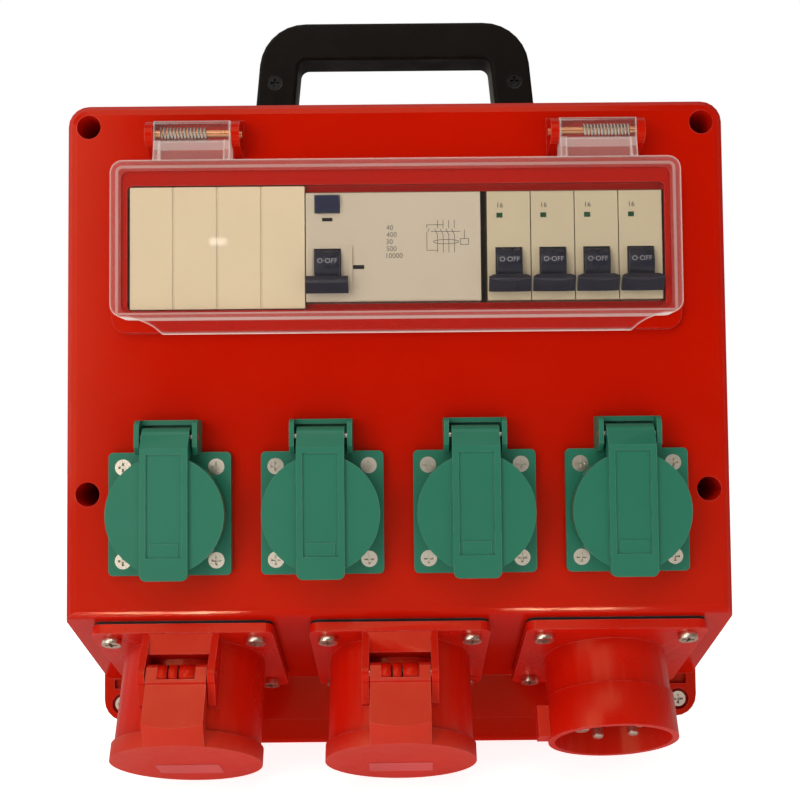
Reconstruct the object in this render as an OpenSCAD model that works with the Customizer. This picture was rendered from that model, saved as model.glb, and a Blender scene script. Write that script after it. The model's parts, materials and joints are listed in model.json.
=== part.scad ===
// Portable power distribution box. A moulded cover and a rear shell carry four household
// sockets, two slanted five-pole sockets with an inlet beside them, and a row of modular
// breakers under a sprung clear window. Millimetres, +Z up, front towards -Y, origin on
// the floor under the middle of the box.

/* [Housing] */
// Width of the front face
cover_w = 275.4; // [266:0.2:300]
// Height of the front face above its lower edge
face_h = 213; // [208:1:240]
// Depth of the cover from its front face to its flange
cover_depth = 75; // [72:1:84]
// Tilt of the socket panel below the horizontal, in degrees
slope = 28.5; // [26:0.5:32]
// Wall of the cover and of the rear shell
wall = 3; // [2:0.25:4]
// Rounding of the front edges
edge_r = 5; // [3:0.5:6]
// Rounding of the upper corners of the front face
corner_r = 9; // [8:0.5:12]
// Lean of each side wall over the depth of the cover
side_draft = 1.6; // [1:0.1:6]
// Lean of the top wall over the depth of the cover
top_draft = 2; // [0.5:0.1:4]
// Thickness of the flange at the parting plane
flange_t = 5; // [4:0.5:7]
// Reach of the flange past the side wall
flange_lip = 1.8; // [1.5:0.1:5]
// Corner rounding of the flange
flange_r = 10; // [6:0.5:14]
// Height of the lower edge of the cover above the floor
foot_z = 18; // [14:1:22]
// Depth of the rear shell behind the seal
rear_depth = 54; // [40:1:64]
// Lean of the rear shell's walls over its depth
rear_draft = 3.5; // [1:0.1:6]
// Width of the foot rail under the rear shell
rail_w = 240; // [200:1:250]
// Height of the foot rail above the lowest point of the lids, which leans the box back
rail_lift = 4; // [0:0.5:6]
// Thickness of the seal between cover and rear shell
seal_t = 1; // [0.5:0.1:2]

/* [Cover screws] */
// Distance of the screws from the side edge of the front face
boss_inset = 9.7; // [9:0.1:11]
// Distance of the upper screws below the top of the face
boss_drop = 10; // [9.8:0.1:16]
// Height of the lower screws above the lower edge of the face
boss_rise_low = 50; // [40:0.5:60]
// Depth of the screw seats behind the front face
boss_seat = 62; // [50:1:68]
// Diameter of the screw wells
boss_well_d = 10; // [8:0.1:10.5]
// Diameter of the screw columns
boss_d = 13; // [12:0.1:13.2]
// Diameter of the cover screws
cover_screw_d = 4.2; // [3:0.1:5]
// Height of the foot screws above the lower edge of the cover
foot_screw_rise = 8; // [6:0.5:12]
// Distance of the foot screws from the side of the flange
foot_screw_inset = 8.6; // [6:0.1:12]

/* [Handle] */
// Outer width of the handle at its seat
handle_w = 143.6; // [126:0.2:164]
// Lean of the handle's legs, in degrees
handle_lean = 5.4; // [0:0.1:6]
// Depth of the handle
handle_d = 20; // [18:0.5:22]
// Width of a leg
handle_leg = 19.5; // [18.5:0.5:24]
// Height of the grip's section
grip_h = 18.5; // [14:0.5:24]
// Height of the handle above its seat
handle_rise = 64.8; // [58:0.2:80]
// Outer corner radius of the handle
handle_r = 23; // [21:0.5:28]
// Rounding of the handle's long edges
handle_edge_r = 2; // [1:0.5:6]
// Distance of the handle behind the seal
handle_back = 6; // [5.5:0.5:8]
// Height of the handle screws above the seat
handle_screw_rise = 34.5; // [20:0.5:36]

/* [Window] */
// Height of the breaker row above the lower edge of the face
row_rise = 150.4; // [146:0.2:152]
// Width of the opening in the cover
window_w = 220; // [219:0.5:221]
// Height of the opening in the cover
window_h = 51.5; // [50.5:0.5:53]
// Height of the raised frame round the opening
sill_t = 3; // [2:0.25:4]
// Width of the lid
lid_w = 230; // [229:0.5:234]
// Height of the lid
lid_h = 63.5; // [63:0.5:66]
// Depth of the lid in front of the gasket
lid_d = 11.2; // [11:0.1:13]
// Wall of the lid
lid_wall = 2.2; // [1.8:0.1:2.6]
// Corner radius of the lid
lid_r = 5; // [3:0.5:7]
// Height of the lifting lip
lip_h = 7; // [5:0.5:9]
// Thickness of the gasket under the lid
lid_seal_t = 1.2; // [0.8:0.1:2]
// Distance between the middles of the two hinges
hinge_pitch = 165; // [140:1:170]
// Length of a hinge barrel
barrel_len = 31; // [28:0.5:34]
// Diameter of a hinge barrel
barrel_d = 10; // [9.5:0.1:10.5]
// Diameter of the hinge pins
hinge_pin_d = 3.2; // [2.6:0.1:3.4]
// Height of the hinge axis above the lid's upper edge
hinge_rise = 12; // [11:0.5:14]
// Thickness of a hinge lug
lug_t = 3.4; // [3:0.1:6]
// Wire diameter of the hinge springs
spring_wire = 0.9; // [0.6:0.05:0.95]
// Turns of a hinge spring
spring_turns = 14; // [8:1:16]
// Distance between the turns of a hinge spring
spring_pitch = 1.37; // [1.36:0.01:1.5]

/* [Breakers] */
// Width of one module
module_w = 18; // [17.5:0.1:18]
// Gap between the four-pole device and the breakers
row_gap = 2.4; // [1:0.1:3]
// Height of the breaker's nose
nose_h = 45; // [44:0.5:46]
// Height of the breaker's body
breaker_h = 85; // [80:1:88]
// Reach of the nose in front of the face
nose_proud = 2; // [0:0.5:2]
// Depth of the nose in front of the shoulders
nose_depth = 7; // [6.5:0.5:9]
// Depth of the body from its shoulders to the rail
breaker_depth = 44; // [40:0.5:46]
// Radius of the toggle's drum
drum_r = 8.5; // [8:0.1:8.8]
// Reach of the toggle's lever from its axis
lever_r = 14; // [12.5:0.1:14]
// Width of the toggle's lever
lever_w = 17.2; // [14:0.1:17.2]
// Width of the toggle's drum
drum_w = 10.4; // [8:0.1:11.5]
// Swing of the toggle each way from the middle, in degrees
toggle_swing = 42; // [36:1:42]
// Height of the toggle's axis below the middle of the nose
toggle_drop = 8; // [5:0.5:8]
// Travel of the test button
button_travel = 2; // [1:0.1:2.5]

/* [Household sockets] */
// Distance between neighbouring sockets
schuko_pitch = 62.2; // [58:0.1:64]
// Height of the socket row above the lower edge of the face
schuko_rise = 42; // [40:0.5:44]
// Side of the square flange
schuko_flange = 50; // [49.5:0.5:54]
// Thickness of the flange
schuko_flange_t = 3.2; // [2.5:0.1:4]
// Distance between the flange screws
schuko_screw_pitch = 38; // [37:0.5:39]
// Diameter of the collar
collar_d = 44; // [43:0.2:44.5]
// Height of the collar above the flange
collar_h = 7; // [5:0.5:8]
// Diameter of the recess for the plug
recess_d = 39; // [38:0.2:39.5]
// Depth of the recess
recess_depth = 17.5; // [16:0.5:18]
// Diameter of the lid
schuko_lid_d = 47.5; // [47:0.2:48]
// Width of the lid's strap
strap_w = 19.2; // [16:0.2:20]
// Thickness of the gasket behind the flange
schuko_seal_t = 0.8; // [0.5:0.1:1.5]

/* [Five-pole sockets] */
// Distance between neighbouring sockets
cee_pitch = 90; // [84:0.5:91]
// Side of the square flange
cee_flange = 75; // [74:0.5:77]
// Thickness of the flange
cee_flange_t = 4; // [3:0.25:5]
// Thickness of the gasket
cee_seal_t = 1.3; // [0.8:0.1:2]
// Distance between the flange screws
cee_screw_pitch = 60; // [58:0.5:62]
// Outer diameter of the socket's collar
cee_collar_d = 61.2; // [60.5:0.2:62]
// Height of the collar above the flange
cee_collar_h = 37; // [35:0.5:40]
// Diameter of the lid
cee_lid_d = 63.6; // [63:0.2:64]
// Height of the lid
cee_lid_h = 6.7; // [6:0.1:8]
// Width of the lid's strap
cee_strap_w = 24.4; // [20:0.2:26]
// Outer diameter of the inlet's shroud
shroud_d = 54.8; // [54.4:0.1:55]
// Inner diameter of the inlet's shroud
shroud_bore = 49.4; // [49:0.1:49.6]
// Height of the inlet's shroud above its flange
shroud_h = 36.3; // [34:0.1:38]
// Diameter of the circle that the pins stand on
pin_circle = 26; // [24:0.5:28]
// Diameter of a phase pin
pin_d = 5; // [4.8:0.1:5.2]
// Diameter of the earth pin
earth_pin_d = 7; // [6.8:0.1:7.2]

/* [Hidden] */
$fn = 64;
skin = 0.01;
play = 0.1;
run_play = 0.05;
gap = 0.35;
lap = 0.5;
through = 400;
steps = 5;

cover_red = [0.72, 0.07, 0.04];
socket_green = [0.20, 0.46, 0.35];
ivory = [0.86, 0.78, 0.64];
breaker_white = [0.80, 0.75, 0.66];
handle_black = [0.05, 0.05, 0.05];
rubber_black = [0.03, 0.03, 0.03];
toggle_navy = [0.10, 0.12, 0.20];
clear_tint = [0.85, 0.88, 0.88, 0.4];
nickel = [0.75, 0.74, 0.70];
copper = [0.80, 0.45, 0.25];
brass = [0.78, 0.62, 0.28];
steel = [0.55, 0.56, 0.58];
button_blue = [0.15, 0.35, 0.65];
core_grey = [0.16, 0.16, 0.17];

// Levels of the slanted sockets, measured out from the panel
cee_face = cee_seal_t + cee_flange_t;
cee_mouth = cee_face + cee_collar_h;
cee_lid_foot = cee_mouth + gap;
cee_top = cee_lid_foot + cee_lid_h;
shroud_top = cee_face + shroud_h;

// The lids reach down to the floor, which sets the height of the front face
face_z = cover_depth / 2 * tan(slope) + cee_top * cos(slope) + cee_lid_d / 2 * sin(slope);
face_top = face_z + face_h;
panel_end_z = face_z - cover_depth * tan(slope);
panel_y = cover_depth / 2;
panel_z = face_z - panel_y * tan(slope);
parting_y = cover_depth + flange_t;
shell_y = parting_y + seal_t;
back_y = shell_y + rear_depth;
shell_half = cover_w / 2 + side_draft;
shell_top = face_top + top_draft;
flange_half = shell_half + flange_lip;
flange_top = shell_top + flange_lip;

boss_x = cover_w / 2 - boss_inset;
boss_z = [face_z + boss_rise_low, face_top - boss_drop];
foot_screw_x = flange_half - foot_screw_inset;
foot_screw_z = foot_z + foot_screw_rise;
cover_head_d = 7.2;
cover_head_h = 2.4;
foot_well_t = 2.6;
ear_rim = 4.7;
ear_pocket_w = 12;
ear_pocket_t = 2.2;
screw_grip = 16;

row_z = face_z + row_rise;
sill_margin = [7.5, 8.5, 10];
lid_z0 = row_z - lid_h / 2 + 2.6;
lid_z1 = lid_z0 + lid_h;
lid_back = -sill_t - lid_seal_t;
lid_front = lid_back - lid_d;
hinge_z = lid_z1 + hinge_rise;
hinge_y = -8;
spring_r = 2.6;
barrel_wall = 1.2;
barrel_ends = [1.2, 2.5];
pin_proud = 0.6;
ledge_y = 1.2;
ledge_gap = 0.6;
lip_top = 222;
lip_slant = 17;
lip_r = (lip_slant * lip_slant + lip_h * lip_h) / (2 * lip_h);
lip_arc = asin(lip_slant / lip_r);

row_x = -(12 * module_w + row_gap) / 2;
rcd_x = row_x + 4 * module_w;
mcb_x = rcd_x + 4 * module_w + row_gap;
side_play = 0.2;
nose_y = -nose_proud;
nose_bevel = 0.4;
shoulder_y = nose_y + nose_depth;
rail_y = shoulder_y + breaker_depth;
rail_t = 1;
rail_d = 7.5;
rail_h = 35;
rail_top_h = 27;
clip_depth = 5;
toggle_y = nose_y + 5;
toggle_z = row_z - toggle_drop;
lever_root = 10.3;
lever_half = 3.4;
lever_bow = 33;
neck_half = 1.7;
button_w = 10;
button_h = 7.2;
button_rise = 17.7;
button_proud = 1.6;
button_depth = 5;

schuko_z = face_z + schuko_rise;
schuko_x = [for (i = [0 : 3]) (i - 1.5) * schuko_pitch];
schuko_face = -schuko_seal_t - schuko_flange_t;
collar_front = schuko_face - collar_h;
schuko_lid_t = 3.2;
schuko_lid_front = collar_front - gap - schuko_lid_t;
strap_front = schuko_lid_front - 1.5;
strap_low = -25.9;
strap_r = 2.6;
strap_panel = [-16.8, 24.2];
schuko_pin_d = 2.5;
schuko_pin_y = schuko_face - 5;
schuko_pin_z = schuko_flange / 2 + 6;
bracket_half = strap_w / 2 + gap + 0.7 + 2;
bracket_wall = 2;
knuckle_r = 4;
schuko_rear = 28;
schuko_cup_d = 43;
schuko_screw_d = 3.2;
schuko_head_d = 6.6;
pole_pitch = 19;
pole_d = 5.6;

cee_x = [-cee_pitch, 0, cee_pitch];
cee_hole_d = 56;
cee_rear_d = 54;
cee_rear_h = 18;
cee_tail_d = 44;
cee_tail_h = 32;
cee_wall = 2.7;
core_floor = cee_face + 3;
core_d = shroud_bore - 2 * 0.4;
core_top = cee_mouth - 2;
cee_hinge_y = cee_collar_d / 2 + 5;
cee_hinge_z = cee_face + 17;
cee_knuckle_r = 4.2;
cee_pin_d = 3.5;
cee_strap_out = cee_hinge_y + 2.4;
cee_ledge = 1.2;
cee_cone = 1.2;
cee_spring_turns = 9;
cee_spring_r = 2.8;
cee_spring_slot = cee_spring_turns * spring_pitch + 3;
cee_lug_t = 3;
cee_fin_z = cee_mouth - 9;
cee_tower_z = cee_hinge_z - cee_knuckle_r - 4;
cee_screw_d = 4;
cee_head_d = 8;
cee_head_h = 2.6;
inlet_floor = cee_face + 4;
inlet_core_t = 5;
pin_short = 4;
pole_turn = 180;

handle_y = shell_y + handle_back;
handle_seat = flange_top;
handle_leg_x = handle_w / 2 - handle_leg / 2;
handle_mid_y = handle_y + handle_d / 2;
post_w = 11;
post_d = 12;
post_h = 42;
post_play = 0.2;
handle_post_x = handle_leg_x - post_h / 2 * tan(handle_lean);
handle_screw_d = 4;
handle_head_d = 7.2;
handle_well_t = 2;

// Outline helpers: points on an arc, and rounded rectangles made of them
function arc(c, r, a0, a1, n = steps) =
    [for (i = [0 : n]) let (a = a0 + (a1 - a0) * i / n) c + r * [cos(a), sin(a)]];

function round_rect(x0, z0, x1, z1, r) = concat(
    arc([x1 - r, z1 - r], r, 0, 90),
    arc([x0 + r, z1 - r], r, 90, 180),
    arc([x0 + r, z0 + r], r, 180, 270),
    arc([x1 - r, z0 + r], r, 270, 360));

function round_top(half, z0, z1, r) = concat(
    [[half, z0]],
    arc([half - r, z1 - r], r, 0, 90),
    arc([r - half, z1 - r], r, 90, 180),
    [[-half, z0]]);

// Strap of the slanted lid in its own side view: out from the axis and up from the panel
function cee_strap() = concat(
    arc([cee_hinge_y, cee_hinge_z], cee_knuckle_r, 150, 330, 10),
    [[cee_strap_out + cee_ledge, cee_hinge_z + 1],
     [cee_strap_out + cee_ledge, cee_hinge_z + 4],
     [cee_strap_out, cee_hinge_z + 4.6],
     [cee_strap_out, cee_top],
     [cee_lid_d / 2 - 7, cee_top],
     [cee_lid_d / 2 - 7, cee_lid_foot + 1],
     [cee_lid_d / 2 - 1, cee_lid_foot],
     [cee_collar_d / 2 + 0.9, cee_mouth - 3]]);

// Middle of the depth, taken from the parts that reach furthest forward
strap_edge_z = cee_top - (cee_strap_out - cee_lid_d / 2) / cee_cone;
front_y = min(strap_front, lid_front, panel_y - cee_strap_out * cos(slope) - strap_edge_z * sin(slope));
mid_y = (back_y + front_y) / 2;

function cover_half(y) = cover_w / 2 + side_draft * y / cover_depth;
function cover_top(y) = face_top + top_draft * y / cover_depth;

// Solids set out in the frame of the box
module placed() {
    translate([0, -mid_y, 0]) children();
}

module xz_slab(pts, y0, y1) {
    translate([0, y1, 0]) rotate([90, 0, 0]) linear_extrude(y1 - y0) polygon(pts);
}

module yz_bar(pts, x0, x1) {
    translate([x0, 0, 0]) rotate([90, 0, 90]) linear_extrude(x1 - x0) polygon(pts);
}

module y_cyl(x, z, d, y0, y1) {
    translate([x, y1, z]) rotate([90, 0, 0]) cylinder(d = d, h = y1 - y0);
}

module x_cyl(y, z, d, x0, x1) {
    translate([x0, y, z]) rotate([0, 90, 0]) cylinder(d = d, h = x1 - x0);
}

module block(x0, y0, z0, x1, y1, z1) {
    translate([x0, y0, z0]) cube([x1 - x0, y1 - y0, z1 - z0]);
}

// Frame of the slanted panel: Z out of the panel and Y up the slope
module on_panel(x) {
    translate([x, panel_y, panel_z]) rotate([180 - slope, 0, 0]) children();
}

// Screw with its head at the origin and its shank along -Z
module pan_screw(head_d, head_h, shank_d, length) {
    difference() {
        union() {
            cylinder(d = head_d, h = head_h);
            translate([0, 0, -length]) cylinder(d = shank_d, h = length + lap);
        }
        cross_recess(head_d * 0.62, head_h);
    }
}

module cross_recess(reach, top) {
    for (a = [0, 90]) {
        rotate([0, 0, a]) block(-reach / 2, -reach / 8, top / 4, reach / 2, reach / 8, top + 1);
    }
}

module facing_front() {
    rotate([90, 0, 0]) children();
}

// Tube through a list of rings, each with the same number of points
module sweep(rings) {
    sides = len(rings[0]);
    last = len(rings) - 1;
    points = [for (ring = rings) for (p = ring) p];
    skin_faces = [for (i = [0 : last - 1]) for (j = [0 : sides - 1])
        let (a = i * sides + j, b = i * sides + (j + 1) % sides)
        each [[a, b, b + sides], [a, b + sides, a + sides]]];
    start_cap = [for (j = [1 : sides - 2]) [0, j + 1, j]];
    end_cap = [for (j = [1 : sides - 2]) let (k = last * sides) [k, k + j, k + j + 1]];
    polyhedron(points, concat(skin_faces, start_cap, end_cap));
}

// Housing
module cover_slice(y, inset) {
    xz_slab(round_top(cover_half(y) - inset, panel_end_z - 1, cover_top(y) - inset, corner_r - inset * 0.4),
        y, y + skin);
}

module cover_form() {
    run = edge_r * tan((90 - slope) / 2);
    nose = arc([edge_r, face_z + run], edge_r, 180, 270 - slope);
    difference() {
        hull() {
            for (a = [0, 30, 60, 90]) {
                cover_slice(edge_r * (1 - cos(a)), edge_r * (1 - sin(a)));
            }
            cover_slice(cover_depth - skin, 0);
        }
        yz_bar(concat([[-through, face_z + run]], nose,
            [[cover_depth, panel_end_z], [cover_depth, -through], [-through, -through]]),
            -through, through);
    }
}

module cover_cavity() {
    lift = face_z + wall / cos(slope);
    difference() {
        hull() {
            for (y = [wall, parting_y + 1]) {
                xz_slab(round_top(cover_half(y) - wall, foot_z, cover_top(y) - wall, corner_r - wall),
                    y, y + skin);
            }
        }
        yz_bar([[-through, lift + through * tan(slope)], [through, lift - through * tan(slope)],
            [through, -through * 2], [-through, -through * 2]], -through, through);
    }
}

module window_sill() {
    xz_slab(round_rect(-window_w / 2 - sill_margin[0], row_z - window_h / 2 - sill_margin[1],
        window_w / 2 + sill_margin[0], row_z + window_h / 2 + sill_margin[2], lid_r + 1), -sill_t, lap);
}

module hinge_lug(x0) {
    reach = barrel_d / 2 + 0.5;
    yz_bar(concat(arc([hinge_y, hinge_z], reach, 90, 270, 10),
        [[lap, hinge_z - reach - 2.5], [lap, hinge_z + reach + 3]]), x0, x0 + lug_t);
}

// Lugs of both hinges, each pair joined by a low ridge on the face
module hinge_lugs() {
    for (side = [-1, 1]) {
        half = barrel_len / 2 + gap + lap;
        ridge_z = hinge_z + barrel_d / 2 + 1.5;
        block(side * hinge_pitch / 2 - half, -2.5, ridge_z, side * hinge_pitch / 2 + half, lap,
            ridge_z + 1.2);
        for (end = [-1, 1]) {
            inner = side * hinge_pitch / 2 + end * (barrel_len / 2 + gap);
            hinge_lug(end > 0 ? inner : inner - lug_t);
        }
    }
}

// Column for a cover screw, with a web to the side wall
module screw_column(side, z) {
    reach = cover_w / 2 - wall / 2;
    y_cyl(side * boss_x, z, boss_d, wall - lap, parting_y);
    block(min(side * boss_x, side * reach), wall - lap, z - wall / 2, max(side * boss_x, side * reach),
        cover_depth, z + wall / 2);
}

// Opening for the breaker row; behind its front edge it closes round the breakers' noses
module window_opening() {
    half = window_h / 2;
    nose = nose_h / 2 + ledge_gap;
    xz_slab(round_rect(-window_w / 2, row_z - half, window_w / 2, row_z + half, 2), -sill_t - 1, ledge_y);
    block(-window_w / 2, ledge_y - lap, row_z - half, rcd_x, wall + 1, row_z + half);
    block(rcd_x - lap, ledge_y - lap, row_z - nose, window_w / 2, wall + 1, row_z + nose);
}

module cover_wells() {
    for (x = [-boss_x, boss_x]) {
        for (z = boss_z) {
            y_cyl(x, z, boss_well_d, -1, boss_seat);
            y_cyl(x, z, cover_screw_d + 2 * play, 0, parting_y + 1);
        }
    }
    for (x = [-foot_screw_x, foot_screw_x]) {
        y_cyl(x, foot_screw_z, boss_well_d, 0, cover_depth + foot_well_t);
        y_cyl(x, foot_screw_z, cover_screw_d + 2 * play, 0, parting_y + 1);
    }
}

module socket_holes() {
    for (x = schuko_x) {
        y_cyl(x, schuko_z, schuko_cup_d + 2 * gap, -1, wall + 1);
        for (dx = [-0.5, 0.5] * schuko_screw_pitch) {
            for (dz = [-0.5, 0.5] * schuko_screw_pitch) {
                y_cyl(x + dx, schuko_z + dz, schuko_screw_d + 2 * play, -1, wall + 1);
            }
        }
    }
    for (x = cee_x) {
        on_panel(x) translate([0, 0, -wall - 2]) {
            cylinder(d = cee_hole_d, h = wall + 4);
            cee_corners() cylinder(d = cee_screw_d + 2 * play, h = wall + 4);
        }
    }
}

module cee_corners() {
    for (dx = [-0.5, 0.5] * cee_screw_pitch) {
        for (dy = [-0.5, 0.5] * cee_screw_pitch) {
            translate([dx, dy, 0]) children();
        }
    }
}

// Shallow pockets in the flange, between the end of the panel and the foot screws
module ear_pockets() {
    for (side = [-1, 1]) {
        x = side * (flange_half - ear_rim - ear_pocket_w / 2);
        block(x - ear_pocket_w / 2, cover_depth - 1, foot_screw_z + boss_well_d / 2 + 2.3,
            x + ear_pocket_w / 2, cover_depth + ear_pocket_t, panel_end_z - 0.5);
    }
}

module front_cover() {
    color(cover_red) placed() difference() {
        union() {
            difference() {
                union() {
                    cover_form();
                    xz_slab(round_rect(-flange_half, foot_z, flange_half, flange_top, flange_r),
                        cover_depth, parting_y);
                }
                cover_cavity();
            }
            for (side = [-1, 1]) {
                for (z = boss_z) {
                    screw_column(side, z);
                }
            }
            window_sill();
            hinge_lugs();
        }
        cover_wells();
        ear_pockets();
        socket_holes();
        window_opening();
        for (side = [-1, 1]) {
            x_cyl(hinge_y, hinge_z, hinge_pin_d + 2 * run_play, side * hinge_pitch / 2 - barrel_len,
                side * hinge_pitch / 2 + barrel_len);
        }
    }
}

module cover_gasket() {
    color(rubber_black) placed() difference() {
        xz_slab(round_rect(-flange_half + 1, foot_z + 1, flange_half - 1, flange_top - 1, flange_r - 1),
            parting_y, shell_y);
        xz_slab(round_rect(-shell_half + 3 * wall, panel_end_z + 3 * wall, shell_half - 3 * wall,
            shell_top - 3 * wall, corner_r), parting_y - 1, shell_y + 1);
        for (x = [-boss_x, boss_x]) {
            for (z = boss_z) {
                y_cyl(x, z, cover_screw_d + 2 * play, parting_y - 1, shell_y + 1);
            }
        }
        for (x = [-foot_screw_x, foot_screw_x]) {
            y_cyl(x, foot_screw_z, cover_screw_d + 2 * play, parting_y - 1, shell_y + 1);
        }
    }
}

module rear_slice(y, inset) {
    lean = rear_draft * (y - shell_y) / rear_depth + inset;
    xz_slab(round_rect(-shell_half + lean, foot_z + 2 + lean / 2, shell_half - lean, shell_top - lean,
        corner_r), y - skin, y);
}

module rear_form() {
    hull() {
        rear_slice(shell_y + flange_t, 0);
        for (a = [0, 30, 60, 90]) {
            rear_slice(back_y - edge_r * (1 - sin(a)), edge_r * (1 - cos(a)));
        }
    }
}

module rear_cavity() {
    hull() {
        rear_slice(shell_y - 1, wall);
        rear_slice(back_y - wall, wall);
    }
    block(-rail_w / 2 + wall, shell_y + 2 * wall, rail_lift + wall, rail_w / 2 - wall, back_y - 2 * wall,
        foot_z + 4 * wall);
}

module rear_columns() {
    for (x = [-boss_x, boss_x]) {
        for (z = boss_z) {
            y_cyl(x, z, boss_d - 2, shell_y, back_y - wall + lap);
        }
    }
    for (x = [-foot_screw_x, foot_screw_x]) {
        y_cyl(x, foot_screw_z, boss_d - 2, shell_y, shell_y + flange_t);
    }
    intersection() {
        rear_form();
        for (x = [-foot_screw_x, foot_screw_x]) {
            y_cyl(x, foot_screw_z, boss_d - 2, shell_y + flange_t - lap, back_y);
        }
    }
    for (x = [-1, 1] * module_w * 5) {
        y_cyl(x, row_z, 12, rail_y + rail_d, back_y - wall + lap);
    }
    for (side = [-1, 1]) {
        for (x = [-1, 1] * 25) {
            y_cyl(side * 60 + x, bar_z, 7, bar_y + bar_t, back_y - wall + lap);
        }
    }
}

module handle_posts() {
    for (side = [-1, 1]) {
        x = side * handle_leg_x;
        post = side * handle_post_x;
        block(x - handle_leg / 2 - 2, handle_y - 1, shell_top - 3 * wall, x + handle_leg / 2 + 2,
            handle_y + handle_d + 1, handle_seat);
        block(post - post_w / 2, handle_mid_y - post_d / 2, handle_seat - lap, post + post_w / 2,
            handle_mid_y + post_d / 2, handle_seat + post_h);
    }
}

module rear_shell() {
    color(cover_red) placed() difference() {
        union() {
            difference() {
                union() {
                    rear_form();
                    xz_slab(round_rect(-flange_half, foot_z, flange_half, flange_top, flange_r),
                        shell_y, shell_y + flange_t);
                    yz_bar(round_rect(shell_y + wall, rail_lift, back_y - wall, foot_z + 2 * wall, wall),
                        -rail_w / 2, rail_w / 2);
                }
                rear_cavity();
            }
            rear_columns();
            handle_posts();
        }
        for (x = [-boss_x, boss_x]) {
            for (z = boss_z) {
                y_cyl(x, z, cover_screw_d + 2 * play, shell_y - 1, shell_y + screw_grip + 1);
            }
        }
        for (x = [-foot_screw_x, foot_screw_x]) {
            y_cyl(x, foot_screw_z, cover_screw_d + 2 * play, shell_y - 1, shell_y + screw_grip + 1);
        }
        for (x = [-1, 1] * module_w * 5) {
            y_cyl(x, row_z, cover_screw_d + 2 * play, rail_y, rail_y + rail_d + screw_grip + 1);
        }
        for (x = [-handle_post_x, handle_post_x]) {
            y_cyl(x, handle_seat + handle_screw_rise, handle_screw_d + 2 * play, handle_y,
                handle_y + handle_d);
        }
    }
}

module cover_screws() {
    color(nickel) placed() {
        for (x = [-boss_x, boss_x]) {
            for (z = boss_z) {
                translate([x, boss_seat, z]) facing_front()
                    pan_screw(cover_head_d, cover_head_h, cover_screw_d, shell_y + screw_grip - boss_seat);
            }
        }
        for (x = [-foot_screw_x, foot_screw_x]) {
            translate([x, cover_depth + foot_well_t, foot_screw_z]) facing_front()
                pan_screw(cover_head_d, cover_head_h, cover_screw_d,
                    shell_y + screw_grip - cover_depth - foot_well_t);
        }
    }
}

// Handle: a rounded section swept up one leg, round the corners and down the other
function handle_section(c, ang, w) = [
    for (p = round_rect(-w / 2, -handle_d / 2, w / 2, handle_d / 2, handle_edge_r))
        [c[0] + p[0] * cos(ang), handle_mid_y + p[1], c[1] + p[0] * sin(ang)]];

function handle_corner() = let (
    bend = handle_r - grip_h / 2,
    lift = handle_rise - grip_h / 2 - bend + bend * sin(handle_lean))
    [handle_leg_x - bend * cos(handle_lean) - lift * tan(handle_lean),
     handle_seat + handle_rise - grip_h / 2 - bend, bend];

function handle_ring(side, t) = let (
    c = handle_corner(),
    a = handle_lean + (90 - handle_lean) * t)
    handle_section([side * (c[0] + c[2] * cos(a)), c[1] + c[2] * sin(a)], side > 0 ? a : 180 - a,
        handle_leg + (grip_h - handle_leg) * t);

function handle_rings() = let (turns = 7) concat(
    [handle_section([-handle_leg_x, handle_seat], 180, handle_leg)],
    [for (i = [0 : turns]) handle_ring(-1, i / turns)],
    [for (i = [turns : -1 : 0]) handle_ring(1, i / turns)],
    [handle_section([handle_leg_x, handle_seat], 0, handle_leg)]);

module carry_handle() {
    color(handle_black) placed() difference() {
        sweep(handle_rings());
        for (side = [-1, 1]) {
            x = side * handle_post_x;
            z = handle_seat + handle_screw_rise;
            block(x - post_w / 2 - post_play, handle_mid_y - post_d / 2 - post_play, handle_seat - 1,
                x + post_w / 2 + post_play, handle_mid_y + post_d / 2 + post_play,
                handle_seat + post_h + post_play);
            y_cyl(x, z, handle_screw_d + 2 * play, handle_y - 1, handle_mid_y);
            y_cyl(x, z, handle_head_d + 2 * play, handle_y - 1, handle_y + handle_well_t);
        }
    }
}

module handle_screws() {
    color(nickel) placed() {
        for (x = [-handle_post_x, handle_post_x]) {
            translate([x, handle_y + handle_well_t, handle_seat + handle_screw_rise]) facing_front()
                pan_screw(handle_head_d, handle_well_t - 0.4, handle_screw_d, handle_d - handle_well_t - 4.5);
        }
    }
}

// Window
module lid_outline(inset, y0, y1) {
    xz_slab(round_rect(-lid_w / 2 + inset, lid_z0 + inset, lid_w / 2 - inset, lid_z1 - inset,
        lid_r - inset * 0.6), y0, y1);
}

// Hinge barrel: a square tube, open at its back, with the spring at its outer end
module lid_barrel(side) {
    x0 = side * hinge_pitch / 2 - barrel_len / 2;
    x1 = x0 + barrel_len;
    ends = side < 0 ? barrel_ends : [barrel_ends[1], barrel_ends[0]];
    half = barrel_d / 2;
    leaf_front = hinge_y - half + 0.3;
    difference() {
        union() {
            yz_bar(round_rect(hinge_y - half, hinge_z - half, hinge_y + half - 1, hinge_z + half, 1.8),
                x0, x1);
            block(x0, leaf_front, lid_z1 - lid_wall, x1, leaf_front + 2.4, hinge_z - 1);
            for (rib = [x0, x1 - 2.4]) {
                yz_bar([[leaf_front, hinge_z - 2], [lid_front, lid_z1 - lid_wall],
                    [lid_back, lid_z1 - lid_wall], [hinge_y + 3, hinge_z - 2]], rib, rib + 2.4);
            }
        }
        x_cyl(hinge_y, hinge_z, hinge_pin_d + 2 * run_play, x0 - 1, x1 + 1);
        block(x0 + ends[0], hinge_y - half + barrel_wall, hinge_z - half + barrel_wall, x1 - ends[1],
            hinge_y + barrel_d, hinge_z + half - barrel_wall);
    }
}

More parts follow.
